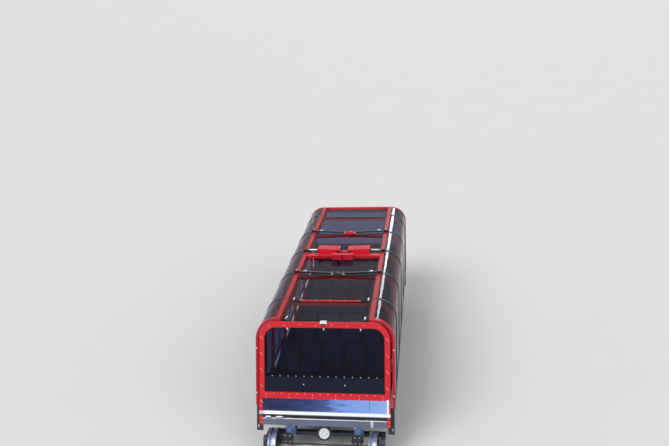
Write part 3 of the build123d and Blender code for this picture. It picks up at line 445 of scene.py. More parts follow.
# Painted shade: below the top of the lip the colour is made dark.
underside_shade_mask = new_node(tree, "MapRange", {"From Min": lip_top_z + 0.001, "From Max": lip_top_z - 0.001})
underside_shade_mix = new_node(tree, "Mix", {"B": (0.10, 0.11, 0.16, 1)}, data_type="RGBA")
highlight_mix = new_node(tree, "Mix", data_type="RGBA")
winged = new_node(tree, "MapRange", {"From Min": -1.02, "From Max": -1.09})
highlight_tone = new_node(
    tree, "Mix", {"A": (0.90, 0.93, 0.97, 1), "B": (0.42, 0.46, 0.56, 1)}, data_type="RGBA")
highlight_metallic = new_node(tree, "MapRange", {"To Min": 1.0, "To Max": 0.25})
for start, finish in (
    (place.outputs["Object"], split.inputs["Vector"]), (place.outputs["Object"], spread.inputs["Vector"]),
    (spread.outputs["Vector"], reflection_clouds.inputs["Vector"]), (reflection_clouds.outputs["Fac"], shifted.inputs[0]),
    (split.outputs["X"], shifted.inputs[2]), (shifted.outputs["Value"], across.inputs["Value"]),
    (across.outputs["Result"], reflection_stripes.inputs["Fac"]), (split.outputs["Z"], fold_highlight_mask.inputs["Value"]),
    (fold_highlight_mask.outputs["Result"], highlight_mix.inputs["Factor"]), (reflection_stripes.outputs["Color"], highlight_mix.inputs["A"]),
    (split.outputs["X"], winged.inputs["Value"]), (winged.outputs["Result"], highlight_tone.inputs["Factor"]),
    (highlight_tone.outputs["Result"], highlight_mix.inputs["B"]), (highlight_mix.outputs["Result"], underside_shade_mix.inputs["A"]),
    (split.outputs["Z"], underside_shade_mask.inputs["Value"]), (underside_shade_mask.outputs["Result"], underside_shade_mix.inputs["Factor"]),
    (underside_shade_mix.outputs["Result"], film.inputs["Clean"]), (fold_highlight_mask.outputs["Result"], highlight_metallic.inputs["Value"]),
    (highlight_metallic.outputs["Result"], shader.inputs["Metallic"]),
):
    tree.links.new(start, finish)
coat_nodes(polished_steel, "valances")
painted_highlight_steel = filmed_finish(
    "painted_highlight_steel", (0.93, 0.94, 0.97), (0.6, 0.6, 0.62), 0.1, 6.0, 0.15, 0.3, 0.00002, {"Metallic": 0.5})
# The bright strips at the right end of each valance are painted highlights.
bm = bmesh.new()
for run, outward in end_faces:
    block(
        bm, (outward * (ring_half - strip_inner_inset), -valance_foot_drop - 0.012, 0),
        (outward * (ring_half - strip_outer_inset), -bar_drop + 0.020, 0.005),
        0.0015, face_frame(run, outward))
piece_from("valance_end_highlights", bm, painted_highlight_steel, "root")
bm = bmesh.new()
for run, outward in end_faces:
    x = outward * lap_x
    block(
        bm, (x - lap_half_width, -valance_foot_drop + 0.004, 0),
        (x + lap_half_width, -bar_drop - 0.004, 0.003), 0.001,
        face_frame(run + outward * valance_back, outward))
piece_from("valance_joints", bm, black_paint, "root")

# Bumper beams: galvanised channels under the valances. A bright strip along the upper edge is a painted
# highlight, and a black plate in the recess above is painted shade. Two small oval marker lamps on black
# seats and a bolted strap sit at the front one.
galvanised_steel = filmed_finish(
    "galvanised_steel", (0.15, 0.17, 0.245), (0.10, 0.10, 0.13), 0.45, 5.0, 0.42, 0.62, 0.00012,
    {"Metallic": 0.7})
coat_nodes(galvanised_steel, "bumpers")
bumper_top_drop = 1.677
bumper_lead = 0.010
marker_table = [
    # middle across, half width, half height
    (-0.985, 0.056, 0.017),
    (-0.785, 0.068, 0.017),
]
marker_drop, marker_lead = 1.645, 0.018
marker_back, marker_middle, marker_bulge = 0.004, 0.012, 0.024
strap_x = 0.832
strap_half_width = 0.023
strap_thick = 0.006
strap_bolt_drops = (1.700, 1.775)
highlight_half_width = 1.085
recess_half_width = 1.018
recess_depth = 0.022
lamp_white = filmed_finish(
    "lamp_white", (0.82, 0.84, 0.88), (0.6, 0.6, 0.6), 0.15, 12.0, 0.08, 0.16, 0.00002, {"Coat Weight": 0.5})
stand = face_frame(-marker_lead, 1)
bm = bmesh.new()
for x, half, rise in marker_table:
    oval = Matrix.Diagonal((half, rise, marker_bulge, 1))
    place = stand @ Matrix.Translation((x, -marker_drop, marker_middle)) @ oval
    made = bmesh.ops.create_uvsphere(bm, u_segments=32, v_segments=12, radius=1.0, matrix=place)["verts"]
    for vert in made:
        local = stand.inverted() @ vert.co
        if local.z < marker_back:
            vert.co = stand @ Vector((local.x, local.y, marker_back))
bmesh.ops.remove_doubles(bm, verts=bm.verts, dist=1e-5)
piece_from("marker_lamps", bm, lamp_white, "root")
bm = bmesh.new()
for x, half, rise in marker_table:
    block(
        bm, (x - half + 0.01, -marker_drop - 0.032, -0.040),
        (x + half - 0.01, -marker_drop + 0.012, marker_back), 0.003, stand)
piece_from("marker_lamp_seats", bm, black_paint, "root")
stand = face_frame(-bumper_lead, 1)
bm = bmesh.new()
block(
    bm, (strap_x - strap_half_width, -foot_drop, 0.0),
    (strap_x + strap_half_width, -bumper_top_drop + 0.006, strap_thick), 0.002, stand)
bolt_heads(bm, [(strap_x, -drop, strap_thick) for drop in strap_bolt_drops], 0.007, 0.007, stand)
piece_from("bumper_strap", bm, bolt_zinc, "root")
# Painted highlight: a bright strip along the upper edge of each bumper.
bm = bmesh.new()
for run, outward in end_faces:
    block(
        bm, (-highlight_half_width, -bumper_top_drop - 0.010, -0.002),
        (highlight_half_width, -bumper_top_drop + 0.004, 0.003), 0.0015,
        face_frame(run - outward * bumper_lead, outward))
piece_from("bumper_top_highlights", bm, painted_highlight_steel, "root")
# Painted shade: a black plate in each bumper's recess.
bm = bmesh.new()
for run, outward in end_faces:
    block(
        bm, (-recess_half_width, -bumper_top_drop + 0.002, -0.004),
        (recess_half_width, -fold_drop - 0.002, 0.0), 0.001,
        face_frame(run + outward * recess_depth, outward))
piece_from("recess_shade_plates", bm, black_paint, "root")

# Roof frame: red box-section cant rails and beams, welded together. A red batten lies over the first
# joint of the panes and a black one over the last, each with a row of screws.
coat_nodes(red_paint, "cant_rails", "roof_beams")
roof_z = ring_top[2]
glass_drop = 0.035
batten_rise = 0.015
first_station = 0.905
bay_run = 1.162
glass_top_z = roof_z - glass_drop * math.cos(rake)
stations = [first_station + bay_run * k for k in range(5)]
batten_top_z = glass_top_z + batten_rise * math.cos(rake)
batten_screw_xs = (-0.52, -0.26, 0, 0.26, 0.52)


def merged_copy(name):
    """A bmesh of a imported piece, with its loose triangles joined."""
    bm = bmesh.new()
    bm.from_mesh(nodes[name].data)
    bmesh.ops.remove_doubles(bm, verts=bm.verts, dist=1e-5)
    return bm


batten_low, batten_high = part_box("roof_battens")
bm = merged_copy("roof_battens")
for face in bm.faces:
    face.material_index = 1 if face.calc_center_median().y > (batten_low[1] + batten_high[1]) / 2 else 0
battens = piece_from("batten_bars", bm, red_paint, "root")
battens.data.materials.append(black_paint)
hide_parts("roof_battens")
bm = bmesh.new()
for station in (stations[0], stations[-1]):
    bolt_heads(bm, [(x, ring_top[1] + station, batten_top_z) for x in batten_screw_xs], 0.006, 0.005)
piece_from("batten_screws", bm, bolt_zinc, "root")

# Roof panes: paler tinted glass, bedded on black rubber along the rails, with bolted stainless clips at
# the lower corners of the first two.
roof_tint = filmed_finish(
    "roof_tint", (0.42, 0.38, 0.48), (0.38, 0.36, 0.44), 0.3, 1.2, 0.015, 0.03, 0.0,
    {"Transmission Weight": 1.0, "IOR": 1.12})
coat_nodes(roof_tint, "roof_glass")
gasket_rubber = filmed_finish(
    "gasket_rubber", (0.008, 0.008, 0.009), (0.05, 0.05, 0.05), 0.4, 8.0, 0.5, 0.7, 0.0001)
stainless_steel = filmed_finish(
    "stainless_steel", (0.66, 0.67, 0.68), (0.4, 0.4, 0.4), 0.2, 6.0, 0.2, 0.34, 0.00004, {"Metallic": 1.0})
pane_edge_x = 0.775
bead_width = 0.026
bead_rise = 0.006
bead_gap = 0.012
cabin_start, cabin_end = 0.15, 6.10
pane_edges = [cabin_start] + stations + [cabin_end]
clip_x = 0.70
clip_half_width = 0.014
clip_rise = 0.014
clip_inset, clip_back, clip_reach, clip_bolt_reach = 0.036, 0.030, 0.085, 0.060
bm = bmesh.new()
for side in (-1, 1):
    for start, end in zip(pane_edges[:-1], pane_edges[1:]):
        block(
            bm, (side * (pane_edge_x - bead_width), ring_top[1] + start + bead_gap, glass_top_z),
            (side * pane_edge_x, ring_top[1] + end - bead_gap, glass_top_z + bead_rise), 0.002)
piece_from("roof_pane_beads", bm, gasket_rubber, "root")
bm = bmesh.new()
for start in (cabin_start, stations[0]):
    y = ring_top[1] + start + clip_inset
    for side in (-1, 1):
        x = side * clip_x
        block(
            bm, (x - clip_half_width, y - clip_back, glass_top_z),
            (x + clip_half_width, y + clip_reach, glass_top_z + clip_rise), 0.004)
        bolt_heads(bm, [(x, y + clip_bolt_reach, glass_top_z + clip_rise - 0.001)], 0.008, 0.008)
piece_from("roof_pane_clips", bm, stainless_steel, "root")

# Side hoops: red ribs of bent box section inside the curved glass, welded to the cant rails at the top
# and to the sills at the foot.
coat_nodes(red_paint, "side_hoops")

# Sills and skirts: black steel sills under the doorways, welded between the end frames, with a dark
# skirt sheet bolted on along the foot of each.
coat_nodes(black_paint, "side_sills")
coat_nodes(dark_panel, "side_skirts")
skirt_face_x = 1.14
skirt_bolt_drop = 1.70
first_skirt_bolt = cabin_start + 0.1
skirt_bolt_pitch = 0.198
bm = bmesh.new()
for side in (-1, 1):
    for k in range(30):
        run = first_skirt_bolt + k * skirt_bolt_pitch
        spot = ring_top + Vector((
            side * skirt_face_x, run - skirt_bolt_drop * math.sin(rake), -skirt_bolt_drop * math.cos(rake)))
        bolt_heads(bm, [spot], 0.007, 0.007, outward=(side, 0, 0))
piece_from("skirt_bolts", bm, bolt_zinc, "root")

# Side posts: dark galvanised plates with an oblong slot, hung beside the ends. Two bolts hold each one
# to the end frame.
post_steel = filmed_finish(
    "post_steel", (0.040, 0.050, 0.066), (0.05, 0.055, 0.06), 0.4, 6.0, 0.42, 0.6, 0.0001, {"Metallic": 0.6})
coat_nodes(post_steel, "side_posts")
post_x = 1.185
post_setback = 0.09
post_bolt_drops = (1.60, 1.80)
post_spots = [(side * post_x, -drop, 0) for side in (-1, 1) for drop in post_bolt_drops]
bm = bmesh.new()
for run, outward in end_faces:
    bolt_heads(bm, post_spots, 0.007, 0.007, face_frame(run + outward * post_setback, outward))
piece_from("side_post_bolts", bm, post_steel, "root")

# Leaves: red frames, each with a rail along the roof and a hoop at each end. Black straps cover the
# joints of the curved panes and cross the rail, and a black edge bar closes the foot. Rubber beds the
# panes on the rail, and two bright studs stand on the front hoop.
rail_inner_x = 0.787
rail_outer_x = 0.867
leaf_start = 0.075
leaf_rise = 0.025
leaf_top_z = roof_z + leaf_rise * math.cos(rake)
leaf_bead_z = roof_z + (leaf_rise - 0.008) * math.cos(rake)
rail_screw_x = rail_inner_x + 0.04
rail_screw_reach = 0.30
strap_half_length = 0.016
stud_x = 1.210
stud_drops = (0.50, 1.29)
leaf_red = filmed_finish(
    "leaf_red", (0.49, 0.013, 0.024), (0.24, 0.05, 0.06), 0.2, 2.2, 0.28, 0.42, 0.00006,
    {"Specular IOR Level": 0.22})
leaf_tint = filmed_finish(
    "leaf_tint", (0.34, 0.29, 0.40), (0.30, 0.27, 0.36), 0.3, 1.2, 0.015, 0.03, 0.0,
    {"Transmission Weight": 1.0, "IOR": 1.14})
door_sides = [(-1, "left"), (1, "right")]
for side, name in door_sides:
    door = "door_" + name
    coat_nodes(leaf_red, "leaf_frame_" + name)
    coat_nodes(black_paint, "leaf_ribs_" + name)
    coat_nodes(leaf_tint, "leaf_glass_" + name)
    bm = bmesh.new()
    block(
        bm, (side * (rail_outer_x + 0.004), ring_top[1] + cabin_start, leaf_bead_z),
        (side * (rail_outer_x + 0.022), ring_top[1] + cabin_end, leaf_bead_z + 0.007), 0.002)
    piece_from("leaf_pane_bead_" + name, bm, gasket_rubber, door)
    bm = bmesh.new()
    for station in stations:
        spots = [(side * rail_screw_x, ring_top[1] + station + way * rail_screw_reach, leaf_top_z)
                 for way in (-1, 1)]
        bolt_heads(bm, spots, 0.007, 0.006)
    piece_from("leaf_rail_screws_" + name, bm, leaf_red, door)
    bm = bmesh.new()
    for station in (stations[0], stations[-1]):
        y = ring_top[1] + station
        block(
            bm, (side * rail_inner_x, y - strap_half_length, leaf_top_z - 0.002),
            (side * rail_outer_x, y + strap_half_length, leaf_top_z + 0.005), 0.002)
    piece_from("leaf_rail_straps_" + name, bm, black_paint, door)
    bm = bmesh.new()
    spots = [(side * stud_x, -drop, 0) for drop in stud_drops]
    bolt_heads(bm, spots, 0.010, 0.010, face_frame(leaf_start, 1))
    piece_from("leaf_hoop_studs_" + name, bm, bolt_zinc, door)

# Hinge brackets, pins and arms: lugs screwed down in the middle of the roof, red but for the black
# downhill one, with stainless pins and nuts. Black arms run out from them to a black knuckle on each
# leaf's rail, and carry a stainless clamp.
arm_black = filmed_finish(
    "arm_black", (0.012, 0.012, 0.014), (0.06, 0.06, 0.06), 0.3, 6.0, 0.25, 0.4, 0.00004)
coat_nodes(stainless_steel, "hinge_pins", "drive_tube_left", "drive_tube_right")
coat_nodes(arm_black, "leaf_arms_left", "leaf_arms_right")
arm_runs = [stations[1], stations[3]]
middle_lug_lead = 0.03
hinge_runs = arm_runs + [stations[2] - middle_lug_lead]
hinge_x = 0.11
hinge_z = glass_top_z + 0.047
knuckle_z = leaf_top_z + 0.032
base_screw_x, base_screw_reach = 0.135, 0.022
base_top_z = glass_top_z + 0.012
clamp_x = 0.665
clamp_half_length, clamp_half_width = 0.035, 0.024
clamp_z = hinge_z + (clamp_x - hinge_x) / (rail_inner_x - hinge_x) * (knuckle_z - hinge_z)
knuckle_bolt_x, knuckle_bolt_reach = 0.835, 0.022
knuckle_top_z = leaf_top_z + 0.056
bm = merged_copy("hinge_brackets")
for face in bm.faces:
    face.material_index = 1 if face.calc_center_median().y < ring_top[1] + stations[1] + 0.2 else 0
brackets = piece_from("hinge_lugs", bm, red_paint, "root")
brackets.data.materials.append(arm_black)
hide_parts("hinge_brackets")
bm = bmesh.new()
for run in hinge_runs:
    spots = [(side * base_screw_x, ring_top[1] + run + way * base_screw_reach, base_top_z)
             for side in (-1, 1) for way in (-1, 1)]
    bolt_heads(bm, spots, 0.006, 0.006)
piece_from("hinge_base_screws", bm, bolt_zinc, "root")
pins_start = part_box("hinge_pins")[0][1]
bm = bmesh.new()
for run in arm_runs:
    spots = [(side * hinge_x, pins_start + run - arm_runs[0], hinge_z) for side in (-1, 1)]
    bolt_heads(bm, spots, 0.017, 0.012, outward=(0, -1, 0))
piece_from("hinge_nuts", bm, bolt_zinc, "root")
for side, name in door_sides:
    bm = bmesh.new()
    for run in arm_runs:
        y = ring_top[1] + run
        block(
            bm, (side * (clamp_x - clamp_half_length), y - clamp_half_width, clamp_z - clamp_half_width),
            (side * (clamp_x + clamp_half_length), y + clamp_half_width, clamp_z + clamp_half_width), 0.006)
        spots = [(side * knuckle_bolt_x, y + way * knuckle_bolt_reach, knuckle_top_z) for way in (-1, 1)]
        bolt_heads(bm, spots, 0.008, 0.006)
    piece_from("arm_clamps_" + name, bm, stainless_steel, "door_" + name)

# Drive unit: a red beam across the roof with two red gear boxes screwed on its front. A long closed
# cover on each leaf's middle arm has a rubber seal at its foot and a hood over its eye. Bright tubes
# with black collars join the covers to the rails.
cover_paint = filmed_finish(
    "cover_paint", (0.64, 0.014, 0.040), (0.34, 0.07, 0.09), 0.12, 3.0, 0.3, 0.45, 0.00006,
    {"Specular IOR Level": 0.25})
gear_screw_xs = (-0.20, -0.12, -0.035, 0.035, 0.12, 0.20)
gear_screw_inset = 0.015
cover_screw_table = [
    # place across, height over the first screw
    (0.20, 0.0),
    (0.36, 0.006),
    (0.52, 0.012),
]
cover_screw_lift = 0.020
seal_start_x, seal_end_x = 0.14, 0.56
hood_inner_x = 0.085
hood_length = 0.085
hood_foot_z, hood_top_z = hinge_z + 0.062, hinge_z + 0.092
collar_xs = (0.575, 0.765)
collar_foot_radius, collar_top_radius, collar_length = 0.029, 0.026, 0.026
tube_bolt_x, tube_bolt_lift = 0.670, 0.021
drive_beam = piece_from("drive_beam_shell", merged_copy("drive_beam"), red_paint, "root", 0.006)
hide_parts("drive_beam")
drive_boxes = piece_from(
    "drive_gear_boxes", merged_copy("drive_boxes"), cover_paint, "root", 0.005)
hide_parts("drive_boxes")
for side, name in door_sides:
    cover = merged_copy("drive_cover_" + name)
    cover = piece_from("drive_cover_shell_" + name, cover, cover_paint, "door_" + name, 0.008)
    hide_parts("drive_cover_" + name)
box_low, box_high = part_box("drive_boxes")
bm = bmesh.new()
for x in gear_screw_xs:
    spots = [(x, box_low[1], z) for z in (box_high[2] - gear_screw_inset, box_low[2] + gear_screw_inset)]
    bolt_heads(bm, spots, 0.005, 0.004, outward=(0, -1, 0))
piece_from("gear_box_screws", bm, cover_paint, "root")
cover_low, cover_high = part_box("drive_cover_right")


def side_frame(spot, side):
    """Frame at a point, with its z axis out to one side of the car."""
    return Matrix.Translation(spot) @ Matrix.Rotation(side * math.pi / 2, 4, "Y")


for side, name in door_sides:
    door = "door_" + name
    bm = bmesh.new()
    spots = [(side * x, cover_low[1], cover_low[2] + cover_screw_lift + rise)
             for x, rise in cover_screw_table]
    bolt_heads(bm, spots, 0.006, 0.005, outward=(0, -1, 0))
    piece_from("cover_screws_" + name, bm, cover_paint, door)
    bm = bmesh.new()
    block(
        bm, (side * seal_start_x, cover_low[1] - 0.002, cover_low[2] + 0.001),
        (side * seal_end_x, cover_low[1] + 0.010, cover_low[2] + 0.016), 0.001)
    piece_from("cover_seals_" + name, bm, gasket_rubber, door)
    bm = bmesh.new()
    block(
        bm, (side * hood_inner_x, cover_low[1] + 0.004, hood_foot_z),
        (side * (hood_inner_x + hood_length), cover_high[1] - 0.004, hood_top_z), 0.006)
    piece_from("cover_hood_" + name, bm, cover_paint, door)
    bm = bmesh.new()
    y = (cover_low[1] + cover_high[1]) / 2
    for x in collar_xs:
        bmesh.ops.create_cone(
            bm, cap_ends=True, segments=32, radius1=collar_foot_radius, radius2=collar_top_radius,
            depth=collar_length, matrix=side_frame((side * x, y, knuckle_z), side))
    bolt_heads(bm, [(side * tube_bolt_x, y, knuckle_z + tube_bolt_lift)], 0.006, 0.008)
    piece_from("tube_collars_" + name, bm, arm_black, door)

# Sensor box: a small white plastic box, fixed on the middle of the front ring, with a black window and
# two lenses in its face.
white_plastic = filmed_finish(
    "white_plastic", (0.80, 0.81, 0.81), (0.5, 0.49, 0.46), 0.2, 9.0, 0.3, 0.45, 0.00005)
window_half_width = 0.050
window_height = 0.024
lens_x, lens_foot_radius, lens_top_radius, lens_rise = 0.022, 0.009, 0.007, 0.006
sensor_lead = 0.05
sensor = piece_from("sensor_case", merged_copy("sensor_box"), white_plastic, "root", 0.006)
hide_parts("sensor_box")
stand = face_frame(-sensor_lead, 1)
bm = bmesh.new()
block(bm, (-window_half_width, -window_height, 0.0), (window_half_width, 0.000, 0.004), 0.002, stand)
for x in (-lens_x, lens_x):
    bmesh.ops.create_cone(
        bm, cap_ends=True, segments=24, radius1=lens_foot_radius, radius2=lens_top_radius,
        depth=lens_rise, matrix=stand @ Matrix.Translation((x, -window_height / 2, lens_rise)))
piece_from("sensor_window", bm, gasket_rubber, "root")

# Floor: ribbed rubber on folded steel trays, one step for each row, with a bright metal strip along each
# step's edge.
floor_rubber = filmed_finish(
    "floor_rubber", (0.016, 0.017, 0.022), (0.06, 0.058, 0.055), 0.5, 3.0, 0.6, 0.8, 0.0003)
coat_nodes(floor_rubber, "floor_trays")
slope = math.radians(45)
first_row_run = 0.57
row_z = 0.8772
strip_half_length = 1.05
tread_up = -0.43
nosing_setback = 0.062
nosing_forward = bay_run * math.cos(slope) - nosing_setback


def row_frame(row):
    """Frame of a row of seats: x across to the left, y forward as the seats face, z up."""
    across = Vector((-1, 0, 0))
    ahead = Vector((0, -math.cos(slope), math.sin(slope)))
    stand = Matrix((across, ahead, across.cross(ahead))).transposed().to_4x4()
    stand.translation = Vector((0, ring_top[1] + first_row_run + row * bay_run, row_z))
    return stand


bm = bmesh.new()
for row in range(6):
    block(
        bm, (-strip_half_length, nosing_forward - 0.045, tread_up),
        (strip_half_length, nosing_forward - 0.003, tread_up + 0.004), 0.001, row_frame(row))
piece_from("floor_edge_strips", bm, stainless_steel, "root")

# Seat rows: moulded plastic shells side by side on black boards, with a slight dish across each place.
# Each shell is a sheet that runs back from its dipped front edge, bends up, and rolls back at the top.
seat_plastic = filmed_finish(
    "seat_plastic", (0.026, 0.032, 0.055), (0.06, 0.065, 0.08), 0.3, 4.0, 0.35, 0.5, 0.0002)
seat_depth = 0.43
back_height = 0.70
shell_thick = 0.028
place_gap = 0.014
dish = 0.012
bend = 0.055
bend_length = math.pi / 2 * bend
edge_length = 0.05
front_dip, top_roll = 0.020, 0.012
shell_lead, shell_drop = 0.016, 0.018
board_inset = 0.01
board_front, board_face, board_thick = -0.030, -0.034, 0.020
board_depth, board_height = 0.40, 0.66
seat_table = [
    # places in the row, width of a place
    (5, 0.416),
    (4, 0.466),
    (4, 0.466),
    (4, 0.466),
    (4, 0.466),
]
bm = bmesh.new()
boards = bmesh.new()
for row, (places, width) in enumerate(seat_table):
    stand = row_frame(row)
    row_half = places * width / 2
    board_half = row_half - board_inset
    board_back = board_face - board_thick
    block(boards, (-board_half, board_front, board_back), (board_half, board_depth, board_face), 0.003, stand)
    block(boards, (-board_half, board_back, board_back), (board_half, board_face, board_height), 0.003, stand)
    for index in range(places):
        middle_x = -row_half + (index + 0.5) * width
        half = (width - place_gap) / 2
        shell = bmesh.ops.create_grid(bm, x_segments=6, y_segments=18, size=1.0)["verts"]
        sheet_length = seat_depth + back_height - 2 * bend + bend_length
        pan = seat_depth - bend
        for vert in shell:
            across, along = vert.co.x, (vert.co.y + 1) / 2 * sheet_length
            lift = dish * across * across
            if along < pan:
                ahead = seat_depth - along
                up = lift - front_dip * max(0, 1 - along / edge_length) ** 2
            elif along < pan + bend_length:
                turn = (along - pan) / bend
                ahead, up = bend - (bend - lift) * math.sin(turn), bend - (bend - lift) * math.cos(turn)
            else:
                up = bend + along - pan - bend_length
                ahead = lift - top_roll * max(0, 1 - (back_height - up) / edge_length) ** 2
            vert.co = stand @ Vector((middle_x + across * half, ahead - shell_lead, up - shell_drop))
bmesh.ops.remove_doubles(bm, verts=bm.verts, dist=1e-5)
seats = piece_from("seat_shells", bm, seat_plastic, "root")
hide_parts("seat_rows")
thick = seats.modifiers.new("shell_thickness", "SOLIDIFY")
thick.thickness = shell_thick
thick.offset = 0.0
piece_from("seat_boards", boards, black_paint, "root")

# Seat brackets: black gusset plates of cut steel under the benches, fixed to the risers behind them.
# They carry the boards.
coat_nodes(black_paint, "seat_brackets")

# Chassis: galvanised box beams with welded cross members, saddles and knee brackets. Each member is bolted
# through the beams with two bolts at each end.
# The zinc is given a dark colour: painted shade for the shadow under the car.
chassis_zinc = filmed_finish(
    "chassis_zinc", (0.20, 0.21, 0.23), (0.12, 0.11, 0.10), 0.6, 4.0, 0.45, 0.65, 0.00012, {"Metallic": 0.6})
coat_nodes(chassis_zinc, "chassis_beams", "cross_members", "floor_saddles", "knee_brackets")
beam_low, beam_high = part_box("chassis_beams")
beam_middle_z = (beam_low[2] + beam_high[2]) / 2
member_low, member_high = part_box("cross_members")
member_width = 0.10
chassis_bolt_reach = 0.03
member_step = (member_high[1] - member_low[1] - member_width) / 3
bm = bmesh.new()
for k in range(4):
    y = member_low[1] + k * member_step + member_width / 2
    for side in (-1, 1):
        spots = [(side * beam_high[0], y + way * chassis_bolt_reach, beam_middle_z) for way in (-1, 1)]
        bolt_heads(bm, spots, 0.011, 0.010, outward=(side, 0, 0))
piece_from("chassis_bolts", bm, bolt_zinc, "root")

# Drawbar: a flat galvanised bar with an eye at the uphill end, fixed to the chassis. A washer is welded
# on each face of the eye.
coat_nodes(chassis_zinc, "drawbar")
draw_low, draw_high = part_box("drawbar")
eye_inset, eye_face_x = 0.060, 0.030
eye = Vector((0, draw_high[1] - eye_inset, (draw_low[2] + draw_high[2]) / 2))
washer_outline = [
    # radius, height over the face
    (0.027, 0.0),
    (0.027, 0.005),
    (0.029, 0.006),
    (0.050, 0.006),
    (0.052, 0.004),
    (0.052, 0.0),
]


def turned(bm, outline, stand, steps=48):
    """A closed outline of (radius, height) pairs turned all round the z axis of a frame."""
    verts = [bm.verts.new(stand @ Vector((radius, 0, height))) for radius, height in outline]
    edges = [bm.edges.new((verts[i - 1], verts[i])) for i in range(len(verts))]
    bmesh.ops.spin(
        bm, geom=verts + edges, cent=stand.translation, axis=stand.to_3x3() @ Vector((0, 0, 1)),
        angle=2 * math.pi, steps=steps, use_merge=True)


bm = bmesh.new()
for side in (-1, 1):
    turned(bm, washer_outline, side_frame(eye + Vector((side * eye_face_x, 0, 0)), side))
piece_from("drawbar_washers", bm, chassis_zinc, "root")

# Hangers: blue-grey painted plates with a round foot, two under each bumper. Four bolts hold each one
# to it.
blue_grey_paint = filmed_finish(
    "blue_grey_paint", (0.105, 0.165, 0.34), (0.10, 0.11, 0.15), 0.4, 4.0, 0.4, 0.6, 0.0001)
coat_nodes(blue_grey_paint, "hangers")
hanger_x = 0.6
hanger_bolt_reach = 0.06
hanger_low, hanger_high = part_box("hangers")
hanger_bolt_zs = (hanger_high[2] - 0.022, 0.40)
bm = bmesh.new()
for y, way in ((hanger_low[1], -1), (hanger_high[1], 1)):
    spots = [(side * hanger_x + reach, y, z)
             for side in (-1, 1) for reach in (-hanger_bolt_reach, hanger_bolt_reach) for z in hanger_bolt_zs]
    bolt_heads(bm, spots, 0.010, 0.009, outward=(0, way, 0))
piece_from("hanger_bolts", bm, bolt_zinc, "root")

# Buffers: blue-grey plungers in sleeves at the front hangers, each with a black rubber pad that four
# bolts hold.
pad_rubber = filmed_finish(
    "pad_rubber", (0.010, 0.011, 0.014), (0.06, 0.06, 0.065), 0.5, 6.0, 0.45, 0.6, 0.0002)
pad_thick = 0.030
pad_bolt_reach, pad_bolt_lift = 0.039, 0.060
buffer_low, buffer_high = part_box("buffers")
buffer_z = (buffer_low[2] + buffer_high[2]) / 2
bm = merged_copy("buffers")
for face in bm.faces:
    face.material_index = 1 if face.calc_center_median().y > buffer_low[1] + pad_thick + 0.001 else 0
buffers = piece_from("buffer_bodies", bm, pad_rubber, "root", 0.004)
buffers.data.materials.append(blue_grey_paint)
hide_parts("buffers")
bm = bmesh.new()
for side in (-1, 1):
    spots = [(side * hanger_x + x, buffer_low[1], buffer_z + z)
             for x in (-pad_bolt_reach, pad_bolt_reach) for z in (-pad_bolt_lift, pad_bolt_lift)]
    bolt_heads(bm, spots, 0.0065, 0.006, outward=(0, -1, 0))
piece_from("buffer_pad_bolts", bm, bolt_zinc, "root")

# Headlamp: a round black housing raked like the face, under the front bumper, with a pale lens behind
# ten grey ribs in a bright rim.
lamp_glass = filmed_finish(
    "lamp_glass", (0.78, 0.80, 0.84), (0.6, 0.6, 0.6), 0.2, 9.0, 0.05, 0.12, 0.0, {"Coat Weight": 0.6})
lens_grey = filmed_finish(
    "lens_grey", (0.20, 0.23, 0.30), (0.3, 0.3, 0.33), 0.3, 30.0, 0.1, 0.3, 0.00004)
coat_nodes(black_paint, "headlamp_housing")
coat_nodes(lamp_glass, "headlamp_lens")
lamp_gap, lamp_radius, lamp_lead = 0.002, 0.125, 0.005
lamp_drop = foot_drop + lamp_gap + lamp_radius
rim_outline = [
    # radius, height over the lens
    (0.084, -0.002),
    (0.084, 0.003),
    (0.087, 0.006),
    (0.094, 0.006),
    (0.097, 0.003),
    (0.097, 0.0),
]
rib_start, rib_end, rib_half_width = 0.024, 0.074, 0.0045
stand = face_frame(-lamp_lead, 1) @ Matrix.Translation((0, -lamp_drop, 0))
bm = bmesh.new()
turned(bm, rim_outline, stand, 64)
piece_from("headlamp_rim", bm, stainless_steel, "root")
bm = bmesh.new()
for k in range(10):
    spoke = stand @ Matrix.Rotation(math.radians(36 * k + 9), 4, "Z")
    block(bm, (rib_start, -rib_half_width, -0.001), (rib_end, rib_half_width, 0.0014), 0.0006, spoke)
piece_from("headlamp_lens_ribs", bm, lens_grey, "root")

# Wheelset carriers: dark cast side frames with the axle boxes, joined by a transom. Each axle box has
# a round cover with six bolts.
cast_paint = filmed_finish(
    "cast_paint", (0.035, 0.045, 0.070), (0.09, 0.08, 0.075), 0.5, 5.0, 0.45, 0.65, 0.0003)
coat_nodes(cast_paint, "carriers")
carrier_face_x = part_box("carriers")[1][0]
cover_outline = [
    # radius, height over the box
    (0.044, 0.0),
    (0.044, 0.006),
    (0.048, 0.008),
    (0.078, 0.008),
    (0.081, 0.005),
    (0.081, 0.0),
]
bolt_circle_radius = 0.066


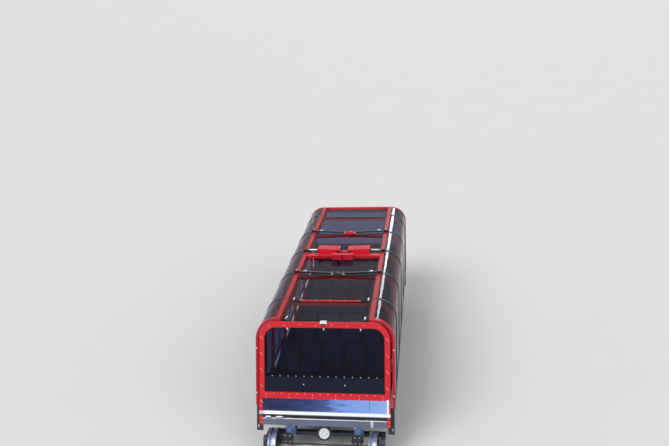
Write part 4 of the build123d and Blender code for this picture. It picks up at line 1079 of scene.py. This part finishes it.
def bolt_circle(count, first_turn, height):
    """Places of equal bolts on the circle that the axle box covers and the wheel hubs share."""
    turns = [math.radians(first_turn + k * 360 / count) for k in range(count)]
    return [(bolt_circle_radius * math.cos(turn), bolt_circle_radius * math.sin(turn), height)
            for turn in turns]


for end in ("front", "rear"):
    low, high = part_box("axle_" + end)
    middle_y = (low[1] + high[1]) / 2
    middle_z = (low[2] + high[2]) / 2
    bm = bmesh.new()
    for side in (-1, 1):
        stand = side_frame((side * carrier_face_x, middle_y, middle_z), side)
        turned(bm, cover_outline, stand)
        bolt_heads(bm, bolt_circle(6, 30, 0.008), 0.007, 0.006, stand)
    piece_from("axle_box_covers_" + end, bm, cast_paint, "root")

# Wheelsets: forged axles, and wheels whose treads and flanges are polished by running while their webs
# stay dark. Eight bolts hold each hub. They turn with their bodies.
tread_steel = filmed_finish(
    "tread_steel", (0.25, 0.29, 0.42), (0.10, 0.10, 0.13), 0.5, 7.0, 0.2, 0.4, 0.00006, {"Metallic": 1.0})
web_steel = filmed_finish(
    "web_steel", (0.05, 0.055, 0.07), (0.05, 0.045, 0.045), 0.6, 7.0, 0.4, 0.6, 0.0002, {"Metallic": 0.5})
axle_steel = filmed_finish(
    "axle_steel", (0.20, 0.19, 0.19), (0.07, 0.055, 0.045), 0.8, 6.0, 0.35, 0.55, 0.0001, {"Metallic": 0.9})
rim_radius = 0.26
hub_setback = 0.008
for end in ("front", "rear"):
    coat_nodes(axle_steel, "axle_" + end)
    low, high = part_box("wheels_" + end)
    middle_y = (low[1] + high[1]) / 2
    middle_z = (low[2] + high[2]) / 2
    bm = merged_copy("wheels_" + end)
    for face in bm.faces:
        nearest = min(math.hypot(v.co.y - middle_y, v.co.z - middle_z) for v in face.verts)
        face.material_index = 0 if nearest > rim_radius else 1
    wheels = piece_from("wheel_pair_" + end, bm, tread_steel, "wheelset_" + end, 0.004)
    wheels.data.materials.append(web_steel)
    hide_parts("wheels_" + end)
    bm = bmesh.new()
    for side in (-1, 1):
        stand = side_frame((side * high[0], middle_y, middle_z), side)
        bolt_heads(bm, bolt_circle(8, 0, -hub_setback), 0.007, 0.008, stand)
    piece_from("wheel_hub_bolts_" + end, bm, bolt_zinc, "wheelset_" + end)

low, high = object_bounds()
